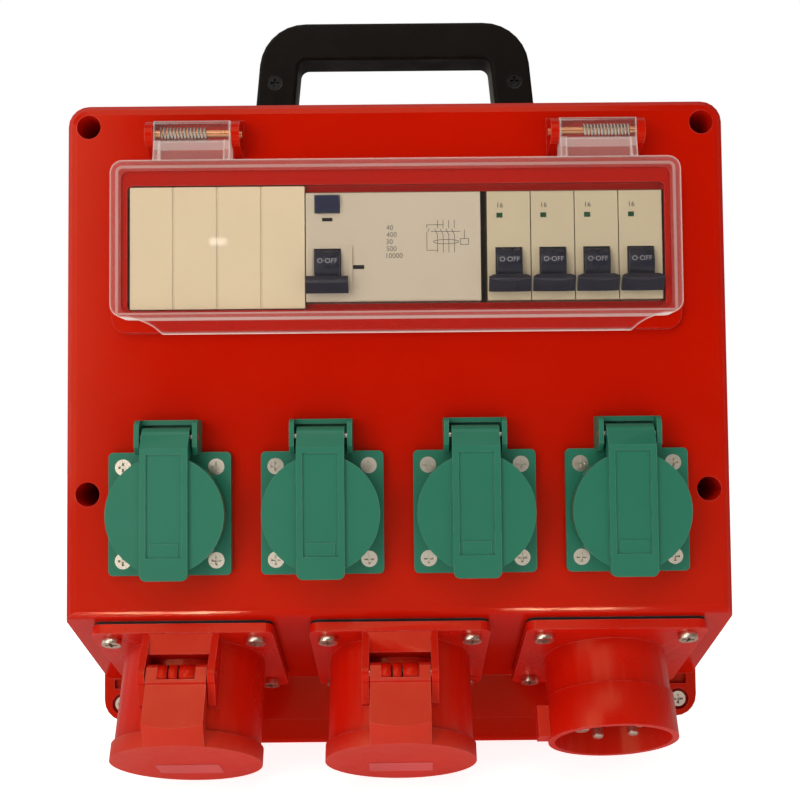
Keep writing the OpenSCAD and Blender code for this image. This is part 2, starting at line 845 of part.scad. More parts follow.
module window_lid() {
    color(clear_tint) placed() {
        union() {
            difference() {
                lid_outline(0, lid_front, lid_back);
                lid_outline(lid_wall, lid_front + lid_wall, lid_back + 1);
            }
            xz_slab(concat([[lip_top / 2, lid_z0 + lap]],
                arc([lip_top / 2, lid_z0 - lip_r], lip_r, 90, 90 + lip_arc),
                arc([-lip_top / 2, lid_z0 - lip_r], lip_r, 90 - lip_arc, 90),
                [[-lip_top / 2, lid_z0 + lap]]), lid_front, lid_front + lid_wall);
            for (side = [-1, 1]) {
                lid_barrel(side);
            }
        }
    }
}

module window_gasket() {
    color(cover_red) placed() difference() {
        lid_outline(0.4, lid_back + play, -sill_t);
        lid_outline(lid_wall + 0.4, lid_back - 1, 0);
    }
}

module window_hinge_pins() {
    pin_half = barrel_len / 2 + gap + lug_t + pin_proud;
    color(copper) placed() {
        for (side = [-1, 1]) {
            x_cyl(hinge_y, hinge_z, hinge_pin_d, side * hinge_pitch / 2 - pin_half,
                side * hinge_pitch / 2 + pin_half);
        }
    }
}

// Springs: one tube wound round a pin along X, with straight ends
spring_rings = 8;
spring_sides = 6;

function spring_point(start, r, turn) =
    start + [spring_pitch * turn, r * cos(360 * turn), r * sin(360 * turn)];

function spring_dir(r, turn) = let (
    d = [spring_pitch, -2 * PI * r * sin(360 * turn), 2 * PI * r * cos(360 * turn)]) d / norm(d);

function spring_ring(p, dir, turn) = let (
    out = [0, cos(360 * turn), sin(360 * turn)],
    side = cross(dir, out))
    [for (k = [0 : spring_sides - 1]) let (a = 360 * k / spring_sides)
        p + spring_wire / 2 * (cos(a) * out + sin(a) * side)];

function spring_path(r, turns) =
    [for (i = [0 : turns * spring_rings]) spring_point([0, 0, 0], r, i / spring_rings)];

function spring_tube(start, r, turns) = concat(
    [spring_ring(spring_point(start, r, 0) - spring_wire * spring_dir(r, 0), spring_dir(r, 0), 0)],
    [for (i = [0 : turns * spring_rings]) let (t = i / spring_rings)
        spring_ring(spring_point(start, r, t), spring_dir(r, t), t)],
    [spring_ring(spring_point(start, r, turns) + spring_wire * spring_dir(r, turns), spring_dir(r, turns),
        turns)]);

function spring_self_gap(r, turns) = let (path = spring_path(r, turns)) min([
    for (i = [0 : len(path) - 1]) for (j = [i + spring_rings / 2 : 1 : len(path) - 1])
        norm(path[i] - path[j])]) - spring_wire;

module window_hinge_springs() {
    length = spring_turns * spring_pitch;
    inset = barrel_ends[0] + spring_wire;
    echo(spring_self_gap = spring_self_gap(spring_r, spring_turns));
    color(steel) placed() {
        sweep(spring_tube([-hinge_pitch / 2 - barrel_len / 2 + inset, hinge_y, hinge_z], spring_r,
            spring_turns));
        sweep(spring_tube([hinge_pitch / 2 + barrel_len / 2 - inset - length, hinge_y, hinge_z], spring_r,
            spring_turns));
    }
}

// Breaker row
module din_rail() {
    y1 = rail_y + rail_d;
    a = rail_h / 2;
    b = rail_top_h / 2;
    color(steel) placed() difference() {
        yz_bar([[rail_y, a], [rail_y, b - rail_t], [y1 - rail_t, b - rail_t], [y1 - rail_t, rail_t - b],
            [rail_y, rail_t - b], [rail_y, -a], [rail_y + rail_t, -a], [rail_y + rail_t, -b], [y1, -b],
            [y1, b], [rail_y + rail_t, b], [rail_y + rail_t, a]] + [for (i = [0 : 11]) [0, row_z]],
            row_x + 2, -row_x - 2);
        for (x = [-1, 1] * module_w * 5) {
            y_cyl(x, row_z, cover_screw_d + 2 * play, rail_y, y1 + 1);
        }
    }
}

module din_rail_screws() {
    color(nickel) placed() {
        for (x = [-1, 1] * module_w * 5) {
            translate([x, rail_y + rail_d - rail_t, row_z]) facing_front()
                pan_screw(cover_head_d, cover_head_h, cover_screw_d, screw_grip);
        }
    }
}

module blanking_strip() {
    half = window_h / 2 - 0.5;
    grip = 1.5;
    x0 = row_x + side_play;
    x1 = rcd_x - side_play;
    color(ivory) placed() difference() {
        union() {
            block(x0, nose_y - 0.5, row_z - half, x1, 0, row_z + half);
            for (side = [-1, 1]) {
                yz_bar([[-lap, row_z + side * half], [wall + gap, row_z + side * half],
                    [wall + gap, row_z + side * (half + 1.2)], [wall + 3, row_z + side * half],
                    [wall + 5, row_z + side * (half - grip)], [-lap, row_z + side * (half - grip)]], x0, x1);
            }
        }
        for (i = [1 : 3]) {
            block(row_x + i * module_w - 0.4, nose_y - 1, row_z - half - 2, row_x + i * module_w + 0.4,
                nose_y, row_z + half + 2);
        }
    }
}

module breaker_profile(x0, x1) {
    n = nose_h / 2;
    b = breaker_h / 2;
    r = rail_h / 2 + 0.3;
    back = rail_y + clip_depth;
    c = nose_bevel;
    pts = [[nose_y, n - c], [nose_y + c, n], [shoulder_y, n], [shoulder_y, b], [back, b], [back, r],
        [rail_y, r], [rail_y, -r], [back, -r], [back, -b], [shoulder_y, -b], [shoulder_y, -n],
        [nose_y + c, -n], [nose_y, c - n]];
    yz_bar([for (p = pts) [p[0], p[1] + row_z]], x0, x1);
}

module breaker_wells(x) {
    b = breaker_h / 2;
    for (side = [-1, 1]) {
        y_cyl(x, row_z + side * (b - 8), 5.6, shoulder_y - 1, shoulder_y + 9);
        block(x - 4, shoulder_y + 12, row_z + side * b - 6, x + 4, shoulder_y + 21, row_z + side * b + 6);
    }
}

module toggle_slot(x) {
    x_cyl(toggle_y, toggle_z, 2 * (drum_r + gap), x - drum_w / 2 - gap, x + drum_w / 2 + gap);
}

module mcb_body(i) {
    x0 = mcb_x + i * module_w;
    mid = x0 + module_w / 2;
    color(breaker_white) placed() difference() {
        breaker_profile(x0 + side_play, x0 + module_w - side_play);
        toggle_slot(mid);
        breaker_wells(mid);
        block(x0 + 4, nose_y - 1, row_z + 11.5, x0 + 6.6, nose_y + 0.6, row_z + 13.6);
    }
}

// Lever in its own side view: r along the lever and t across it
function lever_point(r, t, swing) =
    [toggle_y - r * cos(swing) + t * sin(swing), toggle_z - r * sin(swing) - t * cos(swing)];

// Outline of a breaker's lever seen from its broad side: narrow at the drum, bowed at its tip
function lever_outline() = let (half = lever_w / 2, a = asin(half / lever_bow)) concat(
    [[-drum_w / 2, lever_root - 1], [drum_w / 2, lever_root - 1], [half, lever_root + 1.4]],
    arc([0, lever_r - lever_bow], lever_bow, 90 - a, 90 + a, 8),
    [[-half, lever_root + 1.4]]);

module lever_wing(x) {
    tip = lever_half - 0.6;
    wing = [[lever_root, -lever_half], [lever_root, lever_half], [lever_r - 1, lever_half], [lever_r, tip],
        [lever_r, -tip], [lever_r - 1, -lever_half]];
    yz_bar([for (p = wing) lever_point(p[0], p[1], toggle_swing)], x - lever_w / 2, x + lever_w / 2);
}

module lever_shape(x) {
    translate([x, toggle_y, toggle_z]) rotate([180 + toggle_swing, 0, 0])
        translate([0, 0, -lever_half - 1]) linear_extrude(2 * lever_half + 2) polygon(lever_outline());
}

module toggle(x, bowed) {
    neck = [[drum_r / 2, -neck_half], [drum_r / 2, neck_half], [lever_root + lap, neck_half],
        [lever_root + lap, -neck_half]];
    color(toggle_navy) placed() union() {
        x_cyl(toggle_y, toggle_z, 2 * drum_r, x - drum_w / 2, x + drum_w / 2);
        yz_bar([for (p = neck) lever_point(p[0], p[1], toggle_swing)], x - drum_w / 2, x + drum_w / 2);
        if (bowed) {
            intersection() {
                lever_wing(x);
                lever_shape(x);
            }
        } else {
            lever_wing(x);
        }
    }
}

module rcd_body() {
    x = rcd_x + module_w / 2;
    button_z = row_z + button_rise;
    color(breaker_white) placed() difference() {
        breaker_profile(rcd_x + side_play, rcd_x + 4 * module_w - side_play);
        toggle_slot(x);
        for (i = [0 : 3]) {
            breaker_wells(x + i * module_w);
        }
        block(x - button_w / 2 - 0.2, nose_y - 1, button_z - button_h / 2 - 0.2, x + button_w / 2 + 0.2,
            nose_y + button_depth + button_travel + 1, button_z + button_h / 2 + 0.2);
        block(x - 2.2, nose_y - 1, row_z + 10.6, x + 2.2, nose_y + 0.6, row_z + 12.2);
    }
}

module rcd_test_button() {
    x = rcd_x + module_w / 2;
    z = row_z + button_rise;
    color(button_blue) placed()
        xz_slab(round_rect(x - button_w / 2, z - button_h / 2, x + button_w / 2, z + button_h / 2, 1),
            nose_y - button_proud, nose_y + button_depth);
}

module busbar_comb() {
    z = row_z + breaker_h / 2;
    y = shoulder_y + 16;
    color(copper) placed() {
        union() {
            block(mcb_x + 2, y - 0.8, z + 3, mcb_x + 4 * module_w - 2, y + 0.8, z + 13);
            for (i = [0 : 3]) {
                x = mcb_x + (i + 0.5) * module_w;
                block(x - 2.5, y - 0.8, z - 6, x + 2.5, y + 0.8, z + 4);
            }
        }
    }
}

// Terminal bars on columns of the rear shell
bar_t = 8;
bar_w = 62;
bar_y = back_y - 24;
bar_z = schuko_z + 34;

module terminal_bar(x) {
    difference() {
        block(x - bar_w / 2, bar_y, bar_z - bar_t / 2, x + bar_w / 2, bar_y + bar_t, bar_z + bar_t / 2);
        for (i = [-3 : 3]) {
            translate([x + i * bar_t, bar_y + bar_t / 2, bar_z - bar_t]) cylinder(d = 4.4, h = 2 * bar_t);
        }
    }
}

module neutral_bar() {
    color(brass) placed() terminal_bar(-60);
}

module earth_bar() {
    color(brass) placed() terminal_bar(60);
}

// Household sockets
module at_socket(i) {
    translate([schuko_x[i], 0, schuko_z]) children();
}

module schuko_corners() {
    for (dx = [-0.5, 0.5] * schuko_screw_pitch) {
        for (dz = [-0.5, 0.5] * schuko_screw_pitch) {
            translate([dx, 0, dz]) children();
        }
    }
}

module schuko_square(side, y0, y1, r) {
    xz_slab(round_rect(-side / 2, -side / 2, side / 2, side / 2, r), y0, y1);
}

module hinge_bracket() {
    low = schuko_flange / 2 - 1;
    high = schuko_pin_z + knuckle_r + gap + 0.7 + bracket_wall;
    deep = schuko_pin_y - 3.5;
    for (side = [-1, 1]) {
        x = side * (bracket_half - bracket_wall / 2);
        yz_bar(concat(arc([deep + 3.5, high - 3.5], 3.5, 90, 180), [[deep, low + 3], [deep + 3, low],
            [-schuko_seal_t, low], [-schuko_seal_t, high]]), x - bracket_wall / 2, x + bracket_wall / 2);
    }
    block(-bracket_half, deep + 6, high - bracket_wall, bracket_half, -schuko_seal_t, high);
    block(-bracket_half, -schuko_seal_t - 2, low, bracket_half, -schuko_seal_t, high);
}

module schuko_body(i) {
    floor_y = collar_front + recess_depth;
    color(socket_green) placed() at_socket(i) difference() {
        union() {
            schuko_square(schuko_flange, schuko_face, -schuko_seal_t, 2);
            y_cyl(0, 0, collar_d, collar_front, schuko_face + lap);
            y_cyl(0, 0, schuko_cup_d, -schuko_seal_t - lap, floor_y + 4);
            y_cyl(0, 0, schuko_cup_d - 5, floor_y + 3, schuko_rear);
            hinge_bracket();
        }
        y_cyl(0, 0, recess_d, collar_front - 1, floor_y);
        for (x = [-0.5, 0.5] * pole_pitch) {
            y_cyl(x, 0, pole_d, floor_y - 1, schuko_rear - 4);
        }
        for (side = [-1, 1]) {
            block(-2.2, collar_front + 4, side * (recess_d / 2 + 0.2) - 1, 2.2, floor_y,
                side * (recess_d / 2 + 0.2) + 1);
        }
        schuko_corners() {
            y_cyl(0, 0, schuko_screw_d + 2 * play, schuko_face - 1, 1);
            translate([0, schuko_face + 2, 0]) facing_front()
                cylinder(d1 = schuko_screw_d + 2 * play, d2 = schuko_head_d + 2 * play, h = 2 + skin);
        }
        x_cyl(schuko_pin_y, schuko_pin_z, schuko_pin_d + 2 * run_play, -through, through);
    }
}

module schuko_lid(i) {
    skirt_in = collar_d + 2 * gap;
    skirt_back = collar_front + 3.5;
    strap_back = collar_front - gap;
    knuckle = [schuko_pin_y, schuko_pin_z];
    strap = concat(arc(knuckle, knuckle_r, -60, 165, 12),
        [[strap_front, schuko_pin_z - 4.5], [strap_front, strap_low], [strap_back, strap_low],
         [strap_back, collar_d / 2]]);
    color(socket_green) placed() at_socket(i) difference() {
        union() {
            y_cyl(0, 0, schuko_lid_d, schuko_lid_front, strap_back);
            difference() {
                y_cyl(0, 0, schuko_lid_d, strap_back - lap, skirt_back);
                y_cyl(0, 0, skirt_in, strap_back - 1, skirt_back + 1);
            }
            intersection() {
                yz_bar(strap, -strap_w / 2, strap_w / 2);
                xz_slab(round_rect(-strap_w / 2, strap_low, strap_w / 2, 2 * schuko_pin_z, strap_r),
                    strap_front - 1, wall);
            }
        }
        block(-7, strap_front - 1, strap_panel[0], 7, strap_front + 0.7, strap_panel[1]);
        x_cyl(schuko_pin_y, schuko_pin_z, schuko_pin_d + 2 * run_play, -through, through);
    }
}

module schuko_gaskets() {
    color(rubber_black) placed() for (i = [0 : 3]) {
        at_socket(i) difference() {
            schuko_square(schuko_flange - 1, -schuko_seal_t, 0, 2);
            y_cyl(0, 0, schuko_cup_d + 2 * gap, -schuko_seal_t - 1, 1);
            schuko_corners() y_cyl(0, 0, schuko_screw_d + 2 * play, -schuko_seal_t - 1, 1);
        }
    }
}

module schuko_screws() {
    color(nickel) placed() for (i = [0 : 3]) {
        at_socket(i) schuko_corners() translate([0, schuko_face + 2, 0]) facing_front() difference() {
            union() {
                cylinder(d1 = schuko_screw_d, d2 = schuko_head_d, h = 2);
                translate([0, 0, -8]) cylinder(d = schuko_screw_d, h = 8 + skin);
            }
            cross_recess(schuko_head_d * 0.6, 2);
        }
    }
}

module schuko_hinge_pins() {
    color(steel) placed() for (i = [0 : 3]) {
        at_socket(i) x_cyl(schuko_pin_y, schuko_pin_z, schuko_pin_d, -bracket_half, bracket_half);
    }
}

module schuko_contacts() {
    floor_y = collar_front + recess_depth;
    color(brass) placed() for (i = [0 : 3]) {
        at_socket(i) {
            for (x = [-0.5, 0.5] * pole_pitch) {
                difference() {
                    y_cyl(x, 0, pole_d - 2 * play, floor_y + 2, schuko_rear - 4);
                    y_cyl(x, 0, pole_d - 0.8, floor_y + 1, schuko_rear - 3);
                }
            }
            for (side = [-1, 1]) {
                z = side * (recess_d / 2 + 0.2);
                block(-2, collar_front + 4.2, z - 0.9, 2, floor_y - 0.1, z + 0.9);
            }
        }
    }
}

// Slanted sockets and inlet
module cee_flange_plate() {
    half = cee_flange / 2;
    translate([0, 0, cee_seal_t]) linear_extrude(cee_flange_t)
        polygon(round_rect(-half, -half, half, half, 4));
}

module cee_rear() {
    translate([0, 0, -cee_rear_h]) cylinder(d = cee_rear_d, h = cee_rear_h + cee_face);
    translate([0, 0, -cee_tail_h]) cylinder(d = cee_tail_d, h = cee_tail_h);
}

// Lug that rises from the flange to the pin and runs out along the collar as a fin
module cee_lug(x0) {
    r = cee_knuckle_r + 0.4;
    root = cee_collar_d / 2 - 5;
    yz_bar(concat([[root, cee_face - lap], [cee_flange / 2 - 1, cee_face - lap]],
        arc([cee_hinge_y, cee_hinge_z], r, -15, 75, 8),
        [[root + 5.4, cee_fin_z], [root, cee_fin_z]]), x0, x0 + cee_lug_t);
}

// Block between the lugs, below the pocket that the lid's knuckle turns in
module cee_tower() {
    half = cee_strap_w / 2 + gap + lap;
    block(-half, cee_collar_d / 2 - 4, cee_face - lap, half, cee_flange / 2 - 0.6, cee_tower_z);
}

module cee_socket_body(i) {
    lug_in = cee_strap_w / 2 + gap;
    color(cover_red) placed() on_panel(cee_x[i]) difference() {
        union() {
            cee_flange_plate();
            cee_rear();
            cylinder(d = cee_collar_d, h = cee_mouth);
            cee_tower();
            cee_lug(lug_in);
            cee_lug(-lug_in - cee_lug_t);
        }
        translate([0, 0, core_floor]) cylinder(d = cee_collar_d - 2 * cee_wall, h = cee_mouth);
        translate([0, 0, -1]) cee_corners() cylinder(d = cee_screw_d + 2 * play, h = cee_face + 2);
        x_cyl(cee_hinge_y, cee_hinge_z, cee_pin_d + 2 * run_play, -cee_flange, cee_flange);
        difference() {
            translate([0, 0, -1]) cylinder(d = through, h = cee_seal_t + 1);
            translate([0, 0, -2]) cylinder(d = cee_rear_d, h = cee_seal_t + 4);
        }
    }
}

module cee_poles() {
    for (k = [0 : 4]) {
        a = pole_turn + 72 * k;
        translate([pin_circle / 2 * cos(a), pin_circle / 2 * sin(a), 0]) {
            $pole_d = k == 0 ? earth_pin_d : pin_d;
            children();
        }
    }
}

module cee_socket_cores() {
    color(core_grey) placed() for (i = [0, 1]) {
        on_panel(cee_x[i]) difference() {
            translate([0, 0, core_floor]) cylinder(d = core_d, h = core_top - core_floor);
            cee_poles() translate([0, 0, core_floor + 4]) cylinder(d = $pole_d + 0.7, h = core_top);
        }
    }
}

module cee_contacts() {
    color(brass) placed() for (i = [0, 1]) {
        on_panel(cee_x[i]) cee_poles() difference() {
            translate([0, 0, core_floor + 4]) cylinder(d = $pole_d + 0.5, h = 20);
            translate([0, 0, core_floor + 6]) cylinder(d = $pole_d + 0.1, h = 20);
        }
    }
}

module cee_lid(i) {
    reach = cee_top - cee_hinge_z + 2 * cee_knuckle_r;
    color(cover_red) placed() on_panel(cee_x[i]) difference() {
        union() {
            difference() {
                translate([0, 0, cee_lid_foot]) cylinder(d = cee_lid_d, h = cee_lid_h);
                translate([0, 0, cee_lid_foot - 1]) cylinder(d = cee_lid_d - 6, h = cee_lid_h - 2);
            }
            intersection() {
                yz_bar(cee_strap(), -cee_strap_w / 2, cee_strap_w / 2);
                translate([0, 0, cee_top - reach])
                    cylinder(r1 = cee_lid_d / 2 + cee_cone * reach, r2 = cee_lid_d / 2, h = reach);
            }
        }
        x_cyl(cee_hinge_y, cee_hinge_z, cee_pin_d + 2 * run_play, -cee_flange, cee_flange);
        x_cyl(cee_hinge_y, cee_hinge_z, 2 * cee_knuckle_r + 0.6, -cee_spring_slot / 2, cee_spring_slot / 2);
    }
}

module cee_lid_springs() {
    length = cee_spring_turns * spring_pitch;
    echo(cee_spring_self_gap = spring_self_gap(cee_spring_r, cee_spring_turns));
    color(steel) placed() for (i = [0, 1]) {
        on_panel(cee_x[i])
            sweep(spring_tube([-length / 2, cee_hinge_y, cee_hinge_z], cee_spring_r, cee_spring_turns));
    }
}

module cee_hinge_pins() {
    half = cee_strap_w / 2 + gap + cee_lug_t;
    color(steel) placed() for (i = [0, 1]) {
        on_panel(cee_x[i]) x_cyl(cee_hinge_y, cee_hinge_z, cee_pin_d, -half, half);
    }
}

module cee_gaskets() {
    half = cee_flange / 2 - 0.4;
    color(rubber_black) placed() for (x = cee_x) {
        on_panel(x) difference() {
            translate([0, 0, skin]) linear_extrude(cee_seal_t - skin)
                polygon(round_rect(-half, -half, half, half, 4));
            translate([0, 0, -1]) cylinder(d = cee_rear_d + 2 * gap, h = cee_seal_t + 2);
            translate([0, 0, -1]) cee_corners() cylinder(d = cee_screw_d + 2 * play, h = cee_seal_t + 2);
        }
    }
}

module cee_flange_screws() {
    color(nickel) placed() for (x = cee_x) {
        on_panel(x) cee_corners() translate([0, 0, cee_face])
            pan_screw(cee_head_d, cee_head_h, cee_screw_d, cee_face + wall + 3);
    }
}

module inlet_body() {
    step_z = cee_face + 19;
    color(cover_red) placed() on_panel(cee_x[2]) difference() {
        union() {
            cee_flange_plate();
            cee_rear();
            cylinder(d = shroud_d - 2, h = step_z);
            translate([0, 0, step_z - lap]) cylinder(d = shroud_d, h = shroud_top - step_z + lap);
            block(-shroud_d / 2 - 4.4, -4.5, shroud_top - 14, -shroud_d / 2 + 1.5, 4.5, shroud_top - 1);
        }
        translate([0, 0, inlet_floor]) cylinder(d = shroud_bore, h = shroud_top);
        translate([0, 0, -1]) cee_corners() cylinder(d = cee_screw_d + 2 * play, h = cee_face + 2);
        difference() {
            translate([0, 0, -1]) cylinder(d = through, h = cee_seal_t + 1);
            translate([0, 0, -2]) cylinder(d = cee_rear_d, h = cee_seal_t + 4);
        }
    }
}

module inlet_core() {
    color(cover_red) placed() on_panel(cee_x[2]) difference() {
        translate([0, 0, inlet_floor]) cylinder(d = shroud_bore - 2 * play, h = inlet_core_t);
        cee_poles() translate([0, 0, inlet_floor - 1]) cylinder(d = $pole_d + 2 * play, h = inlet_core_t + 2);
    }
}

module inlet_pins() {
    color(nickel) placed() on_panel(cee_x[2]) cee_poles() {
        r = $pole_d / 2;
        tip = shroud_top - pin_short;
        translate([0, 0, inlet_floor]) rotate_extrude()
            polygon(concat([[0, 0], [r, 0]], arc([r - 1.5, tip - inlet_floor - 1.5], 1.5, 0, 90),
                [[0, tip - inlet_floor]]));
    }
}

rear_shell();
front_cover();
cover_gasket();
cover_screws();
carry_handle();
handle_screws();
window_lid();
window_gasket();
window_hinge_pins();
window_hinge_springs();
din_rail();
din_rail_screws();
blanking_strip();
rcd_body();
toggle(rcd_x + module_w / 2, false);  // rcd_toggle
rcd_test_button();
mcb_body(0);  // mcb_body_1
mcb_body(1);  // mcb_body_2
mcb_body(2);  // mcb_body_3
mcb_body(3);  // mcb_body_4
toggle(mcb_x + 0.5 * module_w, true);  // mcb_toggle_1
toggle(mcb_x + 1.5 * module_w, true);  // mcb_toggle_2
toggle(mcb_x + 2.5 * module_w, true);  // mcb_toggle_3
toggle(mcb_x + 3.5 * module_w, true);  // mcb_toggle_4
busbar_comb();
neutral_bar();
earth_bar();
schuko_body(0);  // schuko_body_1
schuko_body(1);  // schuko_body_2
schuko_body(2);  // schuko_body_3
schuko_body(3);  // schuko_body_4
schuko_lid(0);  // schuko_lid_1
schuko_lid(1);  // schuko_lid_2
schuko_lid(2);  // schuko_lid_3
schuko_lid(3);  // schuko_lid_4
schuko_gaskets();
schuko_screws();
schuko_hinge_pins();
schuko_contacts();
cee_socket_body(0);  // cee_socket_body_1
cee_socket_body(1);  // cee_socket_body_2
cee_lid(0);  // cee_lid_1
cee_lid(1);  // cee_lid_2
cee_socket_cores();
cee_contacts();
cee_hinge_pins();
cee_lid_springs();
cee_gaskets();
cee_flange_screws();
inlet_body();
inlet_core();
inlet_pins();
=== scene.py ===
"""Looks of a portable power distribution box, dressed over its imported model.

The housing, sockets, breakers and handle come from the frame. This file gives them
their finishes, adds the prints, the thin plates and the sleeves round the slanted
lids' springs, and sets the stage.
"""

import json
import math

import bpy
from bpy.props import FloatProperty, FloatVectorProperty, PointerProperty
from mathutils import Matrix, Vector


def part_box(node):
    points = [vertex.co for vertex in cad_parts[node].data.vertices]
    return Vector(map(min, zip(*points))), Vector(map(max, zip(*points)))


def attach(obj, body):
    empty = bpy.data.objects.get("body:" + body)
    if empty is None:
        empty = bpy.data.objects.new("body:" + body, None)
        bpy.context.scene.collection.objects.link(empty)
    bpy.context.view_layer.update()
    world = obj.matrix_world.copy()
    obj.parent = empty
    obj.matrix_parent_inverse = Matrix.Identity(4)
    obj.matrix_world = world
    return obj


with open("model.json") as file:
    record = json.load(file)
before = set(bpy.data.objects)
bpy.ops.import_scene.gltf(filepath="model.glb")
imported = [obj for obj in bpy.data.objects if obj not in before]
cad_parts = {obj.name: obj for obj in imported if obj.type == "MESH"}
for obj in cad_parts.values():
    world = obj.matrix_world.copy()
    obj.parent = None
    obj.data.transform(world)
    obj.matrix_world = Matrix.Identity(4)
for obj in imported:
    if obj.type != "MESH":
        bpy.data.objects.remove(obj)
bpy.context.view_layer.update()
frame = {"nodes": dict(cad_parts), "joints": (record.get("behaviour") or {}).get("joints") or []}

bl_info = {
    "name": "Power Box Looks",
    "version": (1, 0, 0),
    "blender": (4, 5, 0),
    "location": "View3D > Sidebar > Power Box",
    "description": "Finishes, prints and stage for a portable power distribution box",
    "category": "Object",
}

MM = 0.001
JOINTS = {joint["name"]: joint for joint in frame["joints"]}
ROW_OF_FOUR = range(1, 5)

# From the window's hinge back to the front face, and from a socket's hinge down to its middle
HINGE_PROUD = 8 * MM
SOCKET_HINGE_RISE = 31 * MM

# Clear lid: hinge above the top edge, half the barrel, height of the lip, round corners
HINGE_RISE = 12 * MM
BARREL_HALF = 3.8 * MM
LIP_DROP = 7 * MM
LID_ROUND = 5 * MM

# Slanted sockets: lean of their own frame, place of the hinge in it, face of the lid
PANEL_TILT = math.radians(180.0 - 28.5)
HINGE_OUT, HINGE_UP = 35.6 * MM, 22.3 * MM
LID_FACE = 49.35 * MM

# Softened edges
COVER_EDGE = 0.5 * MM
LID_EDGE = 0.6 * MM
BREAKER_EDGE = 0.3 * MM
HOUSEHOLD_EDGE = 0.4 * MM
SLANTED_EDGE = 0.6 * MM
SCREW_EDGE = 0.2 * MM
FLANGE_SCREW_EDGE = 0.3 * MM
SHARP_ANGLE = math.radians(32)
WELD_REACH = 1e-6

# Finishes: tints, and the scales of their noises per metre
WHITE = (1.0, 1.0, 1.0)
RED_SHEEN = (1.0, 0.82, 0.45)
# White of the painted highlights and reflections on the clear lid
HIGHLIGHT_WHITE = (0.95, 0.92, 0.88)
CLOUD_SCALE, SMEAR_SCALE, SCUFF_SCALE = 28.0, 45.0, 160.0
WORN_PALE = 0.45
WEAR_RADIUS = 0.6 * MM
BUMP_DEPTH = 0.4 * MM
CLEAR_IOR = 1.49
HAZE = 0.02

# Words: height of a capital in the font's size, and thickness
CAPITAL_SHARE = 0.72
WORD_HALF_DEPTH = 0.02 * MM

# Stage
MIDDLE = (0.0, 0.0, 0.16)
FLOOR_HALF = 6.0
FLOOR_SEEN = 0.88
SENSOR_WIDTH = 36.0
NEAR_CLIP = 0.01


# Settings


def colour_prop(name, description, default):
    return FloatVectorProperty(
        name=name, description=description, default=default, subtype="COLOR", min=0.0, max=1.0
    )


def length_prop(name, description, default):
    return FloatProperty(
        name=name,
        description=description,
        default=default,
        subtype="DISTANCE",
        unit="LENGTH",
        min=0.0,
    )


def angle_prop(name, description, degrees):
    return FloatProperty(
        name=name, description=description, default=math.radians(degrees), subtype="ANGLE"
    )


def power_prop(name, description, default):
    return FloatProperty(
        name=name, description=description, default=default, unit="POWER", min=0.0
    )


def strength_prop(name, description, default):
    return FloatProperty(name=name, description=description, default=default, min=0.0)


class FinishSettings(bpy.types.PropertyGroup):
    """Colours of the mouldings and metals"""

    housing_red: colour_prop(
        "Housing red", "Colour of the cover and the rear shell", (0.440, 0.0055, 0.0003)
    )
    socket_red: colour_prop(
        "Socket red", "Colour of the slanted sockets", (0.500, 0.006, 0.001)
    )
    socket_green: colour_prop(
        "Socket green", "Colour of the household sockets", (0.015, 0.150, 0.090)
    )
    ivory: colour_prop("Ivory", "Colour of the blanking strip", (0.74, 0.61, 0.42))
    breaker_white: colour_prop(
        "Breaker white", "Colour of the residual-current device", (0.593, 0.516, 0.403)
    )
    breaker_pale: colour_prop(
        "Breaker pale", "Colour of the single breakers", (0.585, 0.505, 0.350)
    )
    handle_black: colour_prop(
        "Handle black", "Colour of the carry handle", (0.006, 0.0045, 0.0035)
    )
    toggle_navy: colour_prop(
        "Toggle navy", "Colour of the breakers' toggles", (0.010, 0.012, 0.028)
    )
    button_blue: colour_prop(
        "Button blue", "Colour of the test button", (0.012, 0.018, 0.055)
    )
    flag_green: colour_prop(
        "Flag green", "Colour of the breakers' state flags", (0.01, 0.075, 0.03)
    )
    rubber: colour_prop("Rubber", "Colour of the seals", (0.008, 0.008, 0.008))
    core_grey: colour_prop(
        "Core grey", "Colour of the contact carriers", (0.03, 0.03, 0.032)
    )
    nickel: colour_prop("Nickel", "Colour of the screws and pins", (0.72, 0.66, 0.55))
    steel: colour_prop(
        "Steel", "Colour of springs, rail and hinge pins", (0.60, 0.58, 0.53)
    )
    copper: colour_prop(
        "Copper", "Colour of the window's hinge pins", (0.80, 0.36, 0.17)
    )
    brass: colour_prop(
        "Brass", "Colour of contacts and terminal bars", (0.70, 0.46, 0.16)
    )
    ink: colour_prop("Ink", "Colour of the prints", (0.05, 0.05, 0.06))


class DetailSettings(bpy.types.PropertyGroup):
    """Sizes of the prints and thin plates"""

    print_lift: length_prop(
        "Print lift", "How far a print stands above its surface", 0.04 * MM
    )
    line_width: length_prop("Line width", "Width of a printed line", 0.22 * MM)
    digit_height: length_prop("Digit height", "Height of the printed numbers", 2.1 * MM)
    word_height: length_prop("Word height", "Height of the words on a toggle", 2.1 * MM)
    drum_radius: length_prop("Drum radius", "Radius of a toggle's drum", 8.5 * MM)
    plate_lift: length_prop(
        "Plate lift", "How far a bare plate stands above its surface", 0.3 * MM
    )


